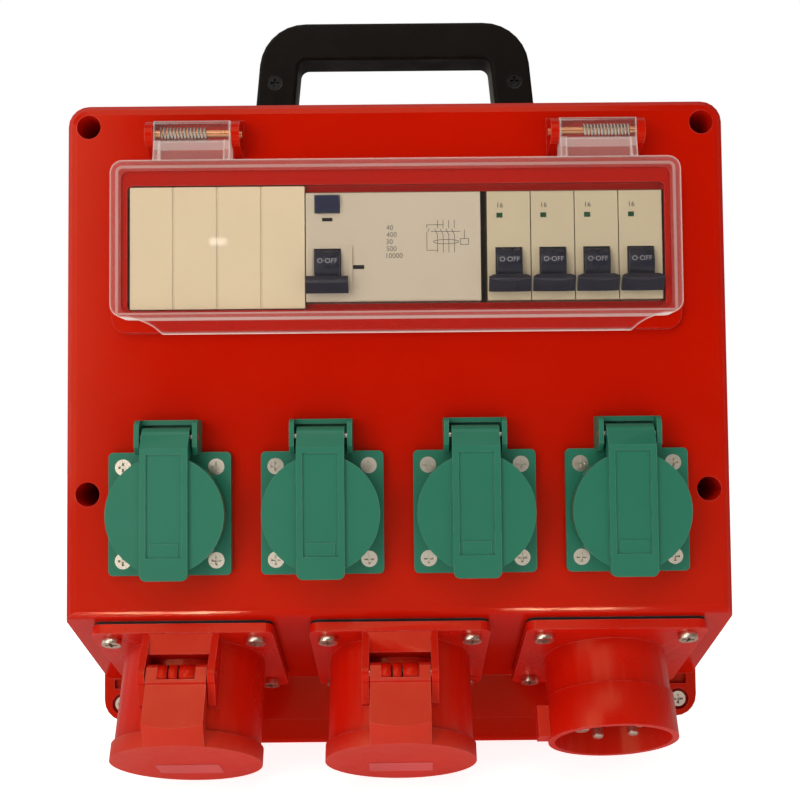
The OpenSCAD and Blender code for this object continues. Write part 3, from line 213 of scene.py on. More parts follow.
class StageSettings(bpy.types.PropertyGroup):
    """Camera, lamps and floor"""

    eye: FloatVectorProperty(
        name="Eye",
        description="Place of the camera from the middle of the household sockets' row",
        default=(0.00008, -0.4425, 0.02586),
        subtype="TRANSLATION",
    )
    pitch: angle_prop("Pitch", "How far the camera looks up", 2.567)
    yaw: angle_prop("Yaw", "How far the camera looks right", 0.115)
    roll: angle_prop("Roll", "Lean of the camera", -0.5535)
    lens: FloatProperty(
        name="Lens", description="Focal length", default=48.24, unit="CAMERA", min=10.0
    )
    key_power: power_prop("Key power", "Power of the large lamp on the left", 5.5)
    fill_power: power_prop("Fill power", "Power of the lamp on the right", 0.35)
    top_power: power_prop("Top power", "Power of the lamp above", 3.7)
    spark_power: power_prop(
        "Spark power", "Power of the small lamp that glints on the lid", 0.002
    )
    glint: power_prop(
        "Glint", "Power of the lamps that glint on the cover's lower edge", 0.24
    )
    sky: strength_prop("Sky", "Strength of the even light all round", 0.30)
    room: strength_prop("Room", "How bright gloss shows the room in front", 0.05)
    floor: colour_prop("Floor", "Colour of the floor", (0.80, 0.80, 0.79))
    glow: strength_prop("Glow", "Light that the table gives off by itself", 0.75)


# Node helpers


def add_node(tree, kind, values=None, **attributes):
    """A shader node with its attributes and unlinked sockets set."""
    made = tree.nodes.new(kind)
    for key, value in attributes.items():
        setattr(made, key, value)
    for key, value in (values or {}).items():
        made.inputs[key].default_value = value
    return made


def feed(tree, socket, value):
    """Links a socket to another one, or sets it to a plain value."""
    if isinstance(value, bpy.types.NodeSocket):
        tree.links.new(value, socket)
    else:
        socket.default_value = value


def opaque(colour):
    return (*colour, 1.0)


def scaled(colour, factor):
    return tuple(min(1.0, channel * factor) for channel in colour)


def lifted(colour, amount):
    return tuple(channel + (1.0 - channel) * amount for channel in colour)


def noise(tree, where, scale, detail=3.0, roughness=0.55):
    made = add_node(
        tree,
        "ShaderNodeTexNoise",
        {"Scale": scale, "Detail": detail, "Roughness": roughness},
    )
    tree.links.new(where, made.inputs["Vector"])
    return made.outputs["Fac"]


def spread(tree, value, low, high, start=0.3, end=0.7):
    """Maps a value from start to end onto the range from low to high."""
    made = add_node(
        tree,
        "ShaderNodeMapRange",
        {"From Min": start, "From Max": end, "To Min": low, "To Max": high},
    )
    tree.links.new(value, made.inputs["Value"])
    return made.outputs["Result"]


def calculate(tree, operation, first, second=0.0):
    """The result of a calculation with two values, each a socket or a number."""
    made = add_node(tree, "ShaderNodeMath", operation=operation)
    for socket, value in zip(made.inputs, (first, second)):
        feed(tree, socket, value)
    return made.outputs["Value"]


def times(tree, first, second):
    return calculate(tree, "MULTIPLY", first, second)


def minus(tree, first, second):
    return calculate(tree, "SUBTRACT", first, second)


def largest(tree, first, second):
    return calculate(tree, "MAXIMUM", first, second)


def parts_of(tree, vector):
    """The three numbers of a vector."""
    made = add_node(tree, "ShaderNodeSeparateXYZ")
    tree.links.new(vector, made.inputs[0])
    return made.outputs


def between(tree, value, start, end, soft):
    """One from start to end, and falling to nought within the soft width outside."""
    rising = spread(tree, value, 0.0, 1.0, start - soft, start)
    falling = spread(tree, value, 1.0, 0.0, end, end + soft)
    return times(tree, rising, falling)


def blend_value(tree, factor, first, second):
    made = add_node(tree, "ShaderNodeMix")
    tree.links.new(factor, made.inputs["Factor"])
    feed(tree, made.inputs[2], first)
    feed(tree, made.inputs[3], second)
    return made.outputs[0]


def blend_colour(tree, factor, first, second):
    made = add_node(tree, "ShaderNodeMix", data_type="RGBA")
    tree.links.new(factor, made.inputs["Factor"])
    feed(tree, made.inputs[6], first)
    feed(tree, made.inputs[7], second)
    return made.outputs[2]


def blend_shader(tree, factor, first, second):
    made = add_node(tree, "ShaderNodeMixShader")
    feed(tree, made.inputs["Fac"], factor)
    tree.links.new(first, made.inputs[1])
    tree.links.new(second, made.inputs[2])
    return made.outputs["Shader"]


def edge_mask(tree, radius):
    """One along outer and inner edges within the radius, and nought on the flats."""
    rounded = add_node(tree, "ShaderNodeBevel", {"Radius": radius}, samples=4)
    geometry = add_node(tree, "ShaderNodeNewGeometry")
    dot = add_node(tree, "ShaderNodeVectorMath", operation="DOT_PRODUCT")
    tree.links.new(rounded.outputs["Normal"], dot.inputs[0])
    tree.links.new(geometry.outputs["Normal"], dot.inputs[1])
    return spread(tree, dot.outputs["Value"], 1.0, 0.0, 0.90, 0.995)


def add_bump(tree, shader, height, strength):
    bump = add_node(
        tree, "ShaderNodeBump", {"Strength": strength, "Distance": BUMP_DEPTH}
    )
    tree.links.new(height, bump.inputs["Height"])
    tree.links.new(bump.outputs["Normal"], shader.inputs["Normal"])


# Finishes


def start_material(name):
    """A new material, its node tree and its main shader."""
    made = bpy.data.materials.new(name)
    made.use_nodes = True
    return made, made.node_tree, made.node_tree.nodes["Principled BSDF"]


def finish(
    name,
    colour,
    roughness,
    metallic=0.0,
    mottle=0.06,
    grain=0.02,
    grain_scale=900.0,
    wear=0.18,
    specular=0.25,
    sheen=WHITE,
):
    """A surface with uneven colour and gloss, a fine grain and paler edges."""
    made, tree, shader = start_material(name)
    shader.inputs["Metallic"].default_value = metallic
    shader.inputs["Specular IOR Level"].default_value = specular
    shader.inputs["Specular Tint"].default_value = opaque(sheen)
    where = add_node(tree, "ShaderNodeTexCoord").outputs["Object"]

    clouds = spread(tree, noise(tree, where, CLOUD_SCALE, 4.0), 0.0, 1.0)
    darker, lighter = scaled(colour, 1.0 - mottle), scaled(colour, 1.0 + mottle)
    ground = blend_colour(tree, clouds, opaque(darker), opaque(lighter))
    scuffs = spread(tree, noise(tree, where, SCUFF_SCALE, 5.0, 0.7), 0.0, wear, 0.35, 0.65)
    rubbed = times(tree, edge_mask(tree, WEAR_RADIUS), scuffs)
    worn = blend_colour(tree, rubbed, ground, opaque(lifted(colour, WORN_PALE)))
    tree.links.new(worn, shader.inputs["Base Color"])

    smears = noise(tree, where, SMEAR_SCALE, 5.0, 0.65)
    uneven = spread(tree, smears, roughness * 0.8, min(1.0, roughness * 1.25))
    tree.links.new(uneven, shader.inputs["Roughness"])
    add_bump(tree, shader, noise(tree, where, grain_scale, 2.0), grain)
    return made


def metal(name, colour, roughness, **more):
    return finish(name, colour, roughness, metallic=1.0, **more)


def rim_depth(tree, side, height, wide, top):
    """How far a point lies inside the lid's rim, whose upper corners are round."""
    near = calculate(tree, "MINIMUM", side, minus(tree, wide, side))
    across = largest(tree, minus(tree, LID_ROUND, near), 0.0)
    down = largest(tree, calculate(tree, "ADD", height, LID_ROUND - top), 0.0)
    squares = calculate(tree, "ADD", times(tree, across, across), times(tree, down, down))
    return minus(tree, LID_ROUND, calculate(tree, "SQRT", squares))


def painted_highlights_and_haze(tree, coordinates, wide, tall, rise):
    """How strongly lit white stands in for the clear lid's highlights and reflections: painted
    highlights on walls, rim, sill, hinge leaves and edges, over a faint haze.
    """
    flat = calculate(tree, "ABSOLUTE", parts_of(tree, coordinates["Normal"])["Y"])
    walls = spread(tree, flat, 1.0, 0.0, 0.55, 0.97)
    share = parts_of(tree, coordinates["Generated"])
    height = times(tree, share["Z"], tall)
    top, barrel = rise - HINGE_RISE, rise - BARREL_HALF
    rim = rim_depth(tree, times(tree, share["X"], wide), height, wide, top)
    pale = times(tree, walls, spread(tree, height, 0.95, 0.50, 10 * MM, 12 * MM))

    lip, leaf, bend = LIP_DROP / MM, top / MM, barrel / MM
    past_the_top = 1000.0
    # What is measured, start, end and soft width in millimetres, and how strong the painted
    # highlight is
    zones = (
        (rim, 2.3, 3.3, 0.3, 0.38),  # line inside the rim
        (rim, 0.0, 3.3, 1.7, 0.13),  # rim
        (height, lip - 1.5, lip - 0.5, 0.3, 0.55),  # lower line of the sill
        (height, lip + 1.0, lip + 1.5, 0.3, 0.40),  # upper line of the sill
        (height, lip - 1.5, lip + 1.5, 0.3, 0.14),  # sill
        (height, leaf, bend, 1.0, 0.20),  # hinge leaves
        (height, bend - 3.5, bend, 0.6, 0.50),  # bend below the barrels
        (height, bend, past_the_top, 1.0, 0.06),  # barrels
    )
    for value, start, end, soft, strength in zones:
        zone = between(tree, value, start * MM, end * MM, soft * MM)
        pale = largest(tree, pale, times(tree, zone, strength))
    # Painted highlights along the lid's edges: a soft band and a sharp line
    near_edges = times(tree, edge_mask(tree, 2.0 * MM), 0.30)
    pale = largest(tree, largest(tree, pale, HAZE), near_edges)
    return largest(tree, pale, edge_mask(tree, 1.1 * MM))


def clear_finish(name, wide, tall, rise):
    """Clear plastic that lets the lamps through, with painted highlights of lit white in its
    zones.
    """
    made, tree, shader = start_material(name)
    shader.inputs["Base Color"].default_value = opaque((0.985, 0.98, 0.97))
    shader.inputs["Transmission Weight"].default_value = 1.0
    shader.inputs["IOR"].default_value = CLEAR_IOR
    coordinates = add_node(tree, "ShaderNodeTexCoord").outputs
    where = coordinates["Object"]
    smears = noise(tree, where, 60.0, 5.0, 0.65)
    tree.links.new(spread(tree, smears, 0.015, 0.05), shader.inputs["Roughness"])
    add_bump(tree, shader, noise(tree, where, 35.0, 2.0), 0.03)

    # Painted highlights and reflections: lit white laid over the clear plastic in its zones
    tint = {"Color": opaque(HIGHLIGHT_WHITE)}
    lit = add_node(tree, "ShaderNodeBsdfDiffuse", tint).outputs["BSDF"]
    lit_through = add_node(tree, "ShaderNodeBsdfTranslucent", tint).outputs["BSDF"]
    painted_highlight = blend_shader(tree, 0.5, lit, lit_through)
    pale = painted_highlights_and_haze(tree, coordinates, wide, tall, rise)
    body = blend_shader(tree, pale, shader.outputs["BSDF"], painted_highlight)

    tint = {"Color": opaque((0.94, 0.93, 0.92))}
    let_through = add_node(tree, "ShaderNodeBsdfTransparent", tint).outputs["BSDF"]
    path = add_node(tree, "ShaderNodeLightPath").outputs
    light = largest(tree, path["Is Shadow Ray"], path["Is Diffuse Ray"])
    light = largest(tree, light, path["Is Glossy Ray"])
    surface = blend_shader(tree, light, body, let_through)
    tree.links.new(surface, tree.nodes["Material Output"].inputs["Surface"])
    return made


def finishes():
    return bpy.context.scene.powerbox_finish


# Pieces


def dress(name, material, edge=0.0):
    """Gives a part of the frame its finish and, where asked, softened edges."""
    part = frame["nodes"][name]
    part.data.materials.clear()
    part.data.materials.append(material)
    if edge > 0.0:
        weld = part.modifiers.new("Weld", "WELD")
        weld.merge_threshold = WELD_REACH
        bevel = part.modifiers.new("Soft edges", "BEVEL")
        bevel.width = edge
        bevel.segments = 2
        bevel.limit_method = "ANGLE"
        bevel.angle_limit = SHARP_ANGLE
        bevel.use_clamp_overlap = True
        bevel.harden_normals = True


def piece(name, points, faces, material, body):
    """A new mesh that rides on a body of the frame."""
    mesh = bpy.data.meshes.new(name)
    mesh.from_pydata([tuple(p) for p in points], [], faces)
    mesh.update()
    made = bpy.data.objects.new(name, mesh)
    bpy.context.scene.collection.objects.link(made)
    mesh.materials.append(material)
    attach(made, body)
    return made


def rounded_outline(x0, z0, x1, z1, radius):
    """Corner points of a rounded rectangle, turning left."""
    steps = 4
    points = []
    for cx, cz, start in (
        (x1 - radius, z1 - radius, 0),
        (x0 + radius, z1 - radius, 90),
        (x0 + radius, z0 + radius, 180),
        (x1 - radius, z0 + radius, 270),
    ):
        for i in range(steps + 1):
            angle = math.radians(start + 90 * i / steps)
            points.append((cx + radius * math.cos(angle), cz + radius * math.sin(angle)))
    return points


def slab(outline, back, front):
    """Points and faces of an outline in X and Z, drawn out along Y."""
    count = len(outline)
    points = [(x, front, z) for x, z in outline] + [(x, back, z) for x, z in outline]
    faces = [tuple(range(count)), tuple(reversed(range(count, 2 * count)))]
    for i in range(count):
        j = (i + 1) % count
        faces.append((i, i + count, j + count, j))
    return points, faces


def ribbons(lines, width, back, front):
    """Points and faces of flat strokes in X and Z, drawn out along Y."""
    points, faces = [], []
    for line in lines:
        for (ax, az), (bx, bz) in zip(line, line[1:]):
            length = math.hypot(bx - ax, bz - az)
            ux, uz = (bx - ax) / length * width / 2, (bz - az) / length * width / 2
            corners = [
                (ax - ux + uz, az - uz - ux),
                (bx + ux + uz, bz + uz - ux),
                (bx + ux - uz, bz + uz + ux),
                (ax - ux - uz, az - uz + ux),
            ]
            more, sides = slab(corners, back, front)
            faces += [tuple(i + len(points) for i in face) for face in sides]
            points += more
    return points, faces


def tube(x0, x1, outer, inner):
    """Points and faces of a hollow round sleeve along X."""
    steps = 32
    points, faces = [], []
    for x, radius in ((x0, inner), (x0, outer), (x1, outer), (x1, inner)):
        for i in range(steps):
            angle = 2 * math.pi * i / steps
            points.append((x, radius * math.cos(angle), radius * math.sin(angle)))
    for ring in range(4):
        for i in range(steps):
            j = (i + 1) % steps
            a, b = ring * steps, (ring + 1) % 4 * steps
            faces.append((a + i, b + i, b + j, a + j))
    return points, faces


def word_mesh(word, height):
    """Points and faces of a flat word, middled on the origin in X and Y."""
    curve = bpy.data.curves.new(word, "FONT")
    curve.body = word
    curve.size = height / CAPITAL_SHARE
    curve.align_x = "CENTER"
    curve.align_y = "CENTER"
    curve.extrude = WORD_HALF_DEPTH
    holder = bpy.data.objects.new(word, curve)
    bpy.context.scene.collection.objects.link(holder)
    shaped = holder.evaluated_get(bpy.context.evaluated_depsgraph_get())
    mesh = bpy.data.meshes.new_from_object(shaped)
    points = [tuple(v.co) for v in mesh.vertices]
    faces = [tuple(polygon.vertices) for polygon in mesh.polygons]
    bpy.data.objects.remove(holder)
    bpy.data.meshes.remove(mesh)
    bpy.data.curves.remove(curve)
    return points, faces


def flat_word(name, word, height, place, material, body, flush=False):
    """A word on a face that looks to the front, middled or flush left on its place."""
    points, faces = word_mesh(word, height)
    x, y, z = place
    if flush:
        x -= min(u for u, v, w in points)
    placed = [(x + u, y - w, z + v) for u, v, w in points]
    piece(name, placed, faces, material, body)


def drum_word(name, word, height, axis, angle, radius, material, body):
    """A word wrapped round a toggle's drum, at an angle above the horizontal."""
    points, faces = word_mesh(word, height)
    x, y, z = axis
    wrapped = []
    for u, v, w in points:
        turn = angle + v / radius
        reach = radius + w
        wrapped.append((x + u, y - reach * math.cos(turn), z + reach * math.sin(turn)))
    piece(name, wrapped, faces, material, body)


# Stage


# Name, place, target, size, the setting that holds the power, and tint
LAMPS = (
    ("Key lamp", (-0.75, -1.05, 0.42), MIDDLE, (0.7, 0.7), "key_power", (1.0, 0.95, 0.88)),
    ("Fill lamp", (0.85, -0.95, 0.55), MIDDLE, (0.8, 0.8), "fill_power", (1.0, 0.96, 0.90)),
    ("Top lamp", (-0.15, -0.85, 0.98), MIDDLE, (0.9, 0.5), "top_power", (1.0, 0.95, 0.88)),
    (
        "Spark lamp",
        (-0.156, -0.58, 0.329),
        (-0.07, -0.07, 0.23),
        (0.014, 0.006),
        "spark_power",
        (1.0, 0.97, 0.92),
    ),
)


def area_lamp(name, place, target, size, power, tint):
    lamp = bpy.data.lights.new(name, "AREA")
    lamp.shape = "RECTANGLE"
    lamp.size, lamp.size_y = size
    lamp.energy = power
    lamp.color = tint
    made = bpy.data.objects.new(name, lamp)
    made.location = place
    aim = Vector(target) - Vector(place)
    made.rotation_euler = aim.to_track_quat("-Z", "Y").to_euler()
    bpy.context.scene.collection.objects.link(made)
    return made


def edge_glints(power):
    """Two lamps just above the table, which only glint on the cover's lower edge."""
    cover = bpy.data.collections.new("Cover alone")
    cover.objects.link(frame["nodes"]["front_cover"])
    deep = 0.03
    for name, x, wide, share in (
        ("Left glint", -0.116, 0.065, 1.0),
        ("Right glint", 0.082, 0.048, 0.55),
    ):
        place, target = (x, -0.106, 0.004), (x, -0.059, 0.051)
        lamp = area_lamp(name, place, target, (wide, deep), power * share, WHITE)
        lamp.data.spread = math.radians(44)
        lamp.visible_diffuse = False
        lamp.light_linking.receiver_collection = cover


def make_world(sky, room):
    """White to the eye and through glass, even as light, and dim in front as gloss shows it."""
    world = bpy.data.worlds.new("White studio")
    bpy.context.scene.world = world
    world.use_nodes = True
    tree = world.node_tree
    background = tree.nodes["Background"]
    background.inputs["Color"].default_value = opaque((1.0, 0.97, 0.93))
    background.inputs["Strength"].default_value = sky
    light = background.outputs["Background"]

    towards = parts_of(tree, add_node(tree, "ShaderNodeTexCoord").outputs["Generated"])
    ahead = spread(tree, towards["Y"], room, 1.0, -0.75, 0.05)
    dim_right = spread(tree, towards["X"], 1.0, 0.2, -0.1, 0.6)
    warm = add_node(tree, "ShaderNodeBackground", {"Color": opaque((1.0, 0.93, 0.84))})
    tree.links.new(times(tree, ahead, dim_right), warm.inputs["Strength"])
    glossed = warm.outputs["Background"]
    blank = {"Color": opaque(WHITE), "Strength": 1.0}
    white = add_node(tree, "ShaderNodeBackground", blank).outputs["Background"]

    path = add_node(tree, "ShaderNodeLightPath").outputs
    seen = largest(tree, path["Is Camera Ray"], path["Is Transmission Ray"])
    under = blend_shader(tree, path["Is Glossy Ray"], light, glossed)
    over = blend_shader(tree, seen, under, white)
    tree.links.new(over, tree.nodes["World Output"].inputs["Surface"])


def make_floor(colour, glow):
    """A pale table that glows, with painted shade near the box that only gloss shows."""
    half = FLOOR_HALF
    corners = [(-half, -half, 0), (half, -half, 0), (half, half, 0), (-half, half, 0)]
    mesh = bpy.data.meshes.new("Floor")
    mesh.from_pydata(corners, [], [(0, 1, 2, 3)])
    floor = bpy.data.objects.new("Floor", mesh)
    bpy.context.scene.collection.objects.link(floor)
    material, tree, shader = start_material("Pale floor")
    shader.inputs["Base Color"].default_value = opaque(colour)
    shader.inputs["Roughness"].default_value = 0.9
    shader.inputs["Emission Color"].default_value = opaque(WHITE)
    path = add_node(tree, "ShaderNodeLightPath").outputs
    where = parts_of(tree, add_node(tree, "ShaderNodeTexCoord").outputs["Object"])
    # Painted shade: the glow that gloss sees fades near the box, standing in for the box's
    # shadow on the table.
    glossed = spread(tree, where["Y"], glow * 0.5, glow * 0.08, -0.22, -0.08)
    seen = spread(tree, path["Is Camera Ray"], glow, FLOOR_SEEN, 0.0, 1.0)
    strength = blend_value(tree, path["Is Glossy Ray"], seen, glossed)
    tree.links.new(strength, shader.inputs["Emission Strength"])
    mesh.materials.append(material)


def face_point():
    """The point on the front face that the camera's place is measured from."""
    hinge = JOINTS["window_lid_turn"]["pos_m"]
    socket = JOINTS["schuko_lid_1_turn"]["pos_m"]
    return Vector((0.0, hinge[1] + HINGE_PROUD, socket[2] - SOCKET_HINGE_RISE))


def make_camera(stage):
    ahead = Vector(
        (
            math.sin(stage.yaw) * math.cos(stage.pitch),
            math.cos(stage.yaw) * math.cos(stage.pitch),
            math.sin(stage.pitch),
        )
    )
    right = Vector((math.cos(stage.yaw), -math.sin(stage.yaw), 0.0))
    up = right.cross(ahead)
    side = math.cos(stage.roll) * right + math.sin(stage.roll) * up
    head = math.cos(stage.roll) * up - math.sin(stage.roll) * right
    data = bpy.data.cameras.new("Camera")
    data.sensor_fit = "HORIZONTAL"
    data.sensor_width = SENSOR_WIDTH
    data.lens = stage.lens
    data.clip_start = NEAR_CLIP
    camera = bpy.data.objects.new("Camera", data)
    turn = Matrix((side, head, -ahead)).transposed().to_4x4()
    camera.matrix_world = Matrix.Translation(face_point() + Vector(stage.eye)) @ turn
    bpy.context.scene.collection.objects.link(camera)
    bpy.context.scene.camera = camera


class POWERBOX_OT_stage(bpy.types.Operator):
    """Makes the floor, the lamps and the camera"""

    bl_idname = "powerbox.stage"
    bl_label = "Stage"

    def execute(self, context):
        stage = context.scene.powerbox_stage
        context.scene.view_settings.view_transform = "Standard"
        make_world(stage.sky, stage.room)
        make_floor(stage.floor, stage.glow)
        for name, place, target, size, power, tint in LAMPS:
            area_lamp(name, place, target, size, getattr(stage, power), tint)
        edge_glints(stage.glint)
        make_camera(stage)
        return {"FINISHED"}


# Housing, handle and window


class POWERBOX_OT_housing(bpy.types.Operator):
    """Finishes the cover, the rear shell and their seal and screws"""

    bl_idname = "powerbox.housing"
    bl_label = "Housing"

    def execute(self, context):
        look = finishes()
        red = finish(
            "Housing red",
            look.housing_red,
            0.16,
            mottle=0.03,
            grain=0.010,
            grain_scale=260.0,
            specular=0.14,
            sheen=RED_SHEEN,
        )
        for name in ("front_cover", "rear_shell"):
            dress(name, red, COVER_EDGE)
        dress("cover_gasket", finish("Seal rubber", look.rubber, 0.7))
        dress("cover_screws", metal("Plated screws", look.nickel, 0.28, wear=0.1), SCREW_EDGE)
        return {"FINISHED"}


class POWERBOX_OT_handle(bpy.types.Operator):
    """Finishes the carry handle and its screws"""

    bl_idname = "powerbox.handle"
    bl_label = "Carry handle"

    def execute(self, context):
        look = finishes()
        black = finish(
            "Handle black",
            look.handle_black,
            0.55,
            grain=0.12,
            grain_scale=1400.0,
            specular=0.08,
        )
        dress("carry_handle", black)
        dress("handle_screws", metal("Dark screws", (0.02, 0.02, 0.02), 0.4))
        return {"FINISHED"}


class POWERBOX_OT_window(bpy.types.Operator):
    """Finishes the clear lid with its hinges and seal"""

    bl_idname = "powerbox.window"
    bl_label = "Window"

    def execute(self, context):
        look = finishes()
        low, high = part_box("window_lid")
        hinge = JOINTS["window_lid_turn"]["pos_m"]
        wide, tall, rise = high.x - low.x, high.z - low.z, hinge[2] - low.z
        dress("window_lid", clear_finish("Clear lid", wide, tall, rise), LID_EDGE)
        dress("window_gasket", finish("Window seal", look.housing_red, 0.5))
        dress("window_hinge_pins", metal("Coppered pins", look.copper, 0.25))
        dress("window_hinge_springs", metal("Spring wire", look.steel, 0.3))
        return {"FINISHED"}


# Breakers


def nose(name):
    """Left edge, front face and middle height of a breaker, in metres."""
    low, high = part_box(name)
    return low.x, low.y, (low.z + high.z) / 2


def print_toggle(name, ink, detail):
    """Words on a toggle's drum for its two ends."""
    axis = JOINTS[f"{name}_turn"]["pos_m"]
    radius = detail.drum_radius + detail.print_lift / 2
    for label, word, degrees in (("off", "O·OFF", 13.0), ("on", "I·ON", -105.0)):
        angle = math.radians(degrees)
        drum_word(
            f"{name}_{label}",
            word,
            detail.word_height,
            axis,
            angle,
            radius,
            ink,
            name,
        )


def print_breaker(number, ink, flag, detail):
    """The number and the state flag of a single breaker."""
    left, face, middle = nose(f"mcb_body_{number}")
    place = (left + 5.2 * MM, face - detail.print_lift / 2, middle + 16.6 * MM)
    flat_word(
        f"mcb_number_{number}", "16", detail.digit_height, place, ink, "housing"
    )
    outline = rounded_outline(
        left + 3.9 * MM, middle + 11.6 * MM, left + 6.3 * MM, middle + 13.5 * MM, 0.2 * MM
    )
    points, faces = slab(outline, face + 0.6 * MM, face + 0.3 * MM)
    piece(f"mcb_flag_{number}", points, faces, flag, "housing")


def print_diagram(ink, detail):
    """A plain four-pole switch with its ring and test branch, drawn in millimetres."""
    poles = [6.0 + 2.3 * i for i in range(4)]
    right, test, centre = poles[3] + 2.4, poles[0] - 4.4, (poles[0] + poles[3]) / 2
    lines = []
    for x in poles:
        lines.append([(x, 0.0), (x, 7.2), (x - 1.1, 9.6)])
        lines.append([(x, 10.0), (x, 13.2)])
    lines.append([(poles[0] - 2.6, 8.6), (right, 8.6)])
    turns = [math.radians(15 * i) for i in range(25)]
    lines.append([(centre + 5.2 * math.cos(a), 4.4 + 0.9 * math.sin(a)) for a in turns])
    far = right + 3.4
    lines.append([(right, 3.2), (far, 3.2), (far, 5.6), (right, 5.6), (right, 3.2)])
    lines.append([(right + 1.7, 5.6), (right + 1.7, 9.2)])
    lines.append([(poles[0], 0.9), (test, 0.9), (test, 8.0), (test + 1.0, 9.8)])
    lines.append([(test, 10.2), (test, 11.4), (poles[1], 11.4)])

    left, face, middle = nose("rcd_body")
    x0, z0 = left + 48 * MM, middle - 2.6 * MM
    placed = [[(x0 + x * MM, z0 + z * MM) for x, z in line] for line in lines]
    points, faces = ribbons(placed, detail.line_width, face, face - detail.print_lift)
    piece("rcd_diagram", points, faces, ink, "housing")


def print_numbers(ink, detail):
    """A column of plain numbers on the four-pole device."""
    left, face, middle = nose("rcd_body")
    for row, number in enumerate(("40", "400", "30", "500", "10000")):
        height = middle + (7.7 - 2.9 * row) * MM
        place = (left + 33.0 * MM, face - detail.print_lift / 2, height)
        flat_word(
            f"rcd_number_{row + 1}",
            number,
            detail.digit_height,
            place,
            ink,
            "housing",
            flush=True,
        )


def surround(material):
    """Thin plates beside the four-pole device's toggle, with a low ridge on their right."""
    left, face, _ = nose("rcd_body")
    x, _, z = JOINTS["rcd_toggle_turn"]["pos_m"]
    low, high, half = z - 9.6 * MM, z + 8.3 * MM, 6.1 * MM
    ridge = left + 18.0 * MM
    thin, proud = 0.26 * MM, 1.1 * MM
    blocks = (
        (left + 0.5 * MM, low, x - half, high, thin),
        (x + half, low, ridge, high, thin),
        (x - half, z + 7.6 * MM, x + half, high, thin),
        (ridge, low, left + 18.9 * MM, high, proud),
    )
    for i, (x0, z0, x1, z1, lift) in enumerate(blocks):
        outline = rounded_outline(x0, z0, x1, z1, 0.15 * MM)
        points, faces = slab(outline, face + 0.1 * MM, face - lift)
        piece(f"rcd_surround_{i + 1}", points, faces, material, "housing")


def dark_panes(material, detail):
    """The four-pole device's sunk pane below its button and the flush one by its toggle."""
    left, face, middle = nose("rcd_body")
    panes = (
        (6.7, 10.7, 11.1, 12.1, 0.5 * MM),
        (19.2, -9.2, 23.9, -7.5, -detail.print_lift),
    )
    for i, (x0, z0, x1, z1, sunk) in enumerate(panes):
        outline = rounded_outline(
            left + x0 * MM, middle + z0 * MM, left + x1 * MM, middle + z1 * MM, 0.2 * MM
        )
        points, faces = slab(outline, face + 0.6 * MM, face + sunk)
        piece(f"rcd_pane_{i + 1}", points, faces, material, "housing")


class POWERBOX_OT_breakers(bpy.types.Operator):
    """Finishes the breaker row and prints its numbers, words and diagram"""

    bl_idname = "powerbox.breakers"
    bl_label = "Breakers"

    def execute(self, context):
        look = finishes()
        detail = context.scene.powerbox_detail
        ink = finish("Print ink", look.ink, 0.5)
        soft_ink = finish("Soft print", (0.12, 0.11, 0.10), 0.5)
        pale_ink = finish("Pale ink", (0.32, 0.32, 0.36), 0.5)
        flag = finish("Flag green", look.flag_green, 0.35)
        dark = finish("Dark pane", (0.012, 0.012, 0.010), 0.3)
        white = finish("Breaker white", look.breaker_white, 0.45, mottle=0.02)
        pale = finish("Breaker pale", look.breaker_pale, 0.45, mottle=0.02)
        navy = finish("Toggle navy", look.toggle_navy, 0.3)
        ivory = finish("Ivory strip", look.ivory, 0.4, mottle=0.03)
        dress("blanking_strip", ivory, BREAKER_EDGE)
        dress("rcd_body", white, BREAKER_EDGE)
        dress("rcd_toggle", navy, BREAKER_EDGE)
        blue = finish("Button blue", look.button_blue, 0.35)
        dress("rcd_test_button", blue, BREAKER_EDGE)
        for number in ROW_OF_FOUR:
            dress(f"mcb_body_{number}", pale, BREAKER_EDGE)
            dress(f"mcb_toggle_{number}", navy, BREAKER_EDGE)
            print_toggle(f"mcb_toggle_{number}", pale_ink, detail)
            print_breaker(number, ink, flag, detail)
        print_toggle("rcd_toggle", pale_ink, detail)
        print_diagram(ink, detail)
        print_numbers(soft_ink, detail)
        surround(white)
        dark_panes(dark, detail)
        return {"FINISHED"}


# Household sockets


def household_plate(number, material, detail):
    """A bare plate low on a household socket's lid."""
    low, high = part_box(f"schuko_lid_{number}")
    x, half = (low.x + high.x) / 2, 5.7 * MM
    outline = rounded_outline(
        x - half, low.z + 8.6 * MM, x + half, low.z + 14.6 * MM, 0.5 * MM
    )
    sunk_face = low.y + 0.7 * MM
    points, faces = slab(outline, sunk_face, sunk_face - detail.plate_lift)
    body = f"schuko_lid_{number}"
    piece(f"schuko_plate_{number}", points, faces, material, body)


class POWERBOX_OT_household(bpy.types.Operator):
    """Finishes the household sockets"""

    bl_idname = "powerbox.household"
    bl_label = "Household sockets"

    def execute(self, context):
        look = finishes()
        detail = context.scene.powerbox_detail
        green = finish(
            "Socket green",
            look.socket_green,
            0.4,
            mottle=0.03,
            grain=0.05,
            grain_scale=1200.0,
        )
        for number in ROW_OF_FOUR:
            dress(f"schuko_body_{number}", green, HOUSEHOLD_EDGE)
            dress(f"schuko_lid_{number}", green, HOUSEHOLD_EDGE)
            household_plate(number, green, detail)
        dress("schuko_gaskets", finish("Socket seal", look.rubber, 0.7))
        dress("schuko_screws", metal("Flange screws", look.nickel, 0.3), SCREW_EDGE)
        dress("schuko_hinge_pins", metal("Socket pins", look.steel, 0.3))
        dress("schuko_contacts", metal("Socket contacts", look.brass, 0.35))
        return {"FINISHED"}


# Slanted sockets and inlet


def on_panel(number, points):
    """Points given in a slanted socket's own frame, moved to the frame of the box."""
    hinge = Vector(JOINTS[f"cee_lid_{number}_turn"]["pos_m"])
    turn = Matrix.Rotation(PANEL_TILT, 3, "X")
    return [hinge + turn @ Vector((x, y - HINGE_OUT, z - HINGE_UP)) for x, y, z in points]


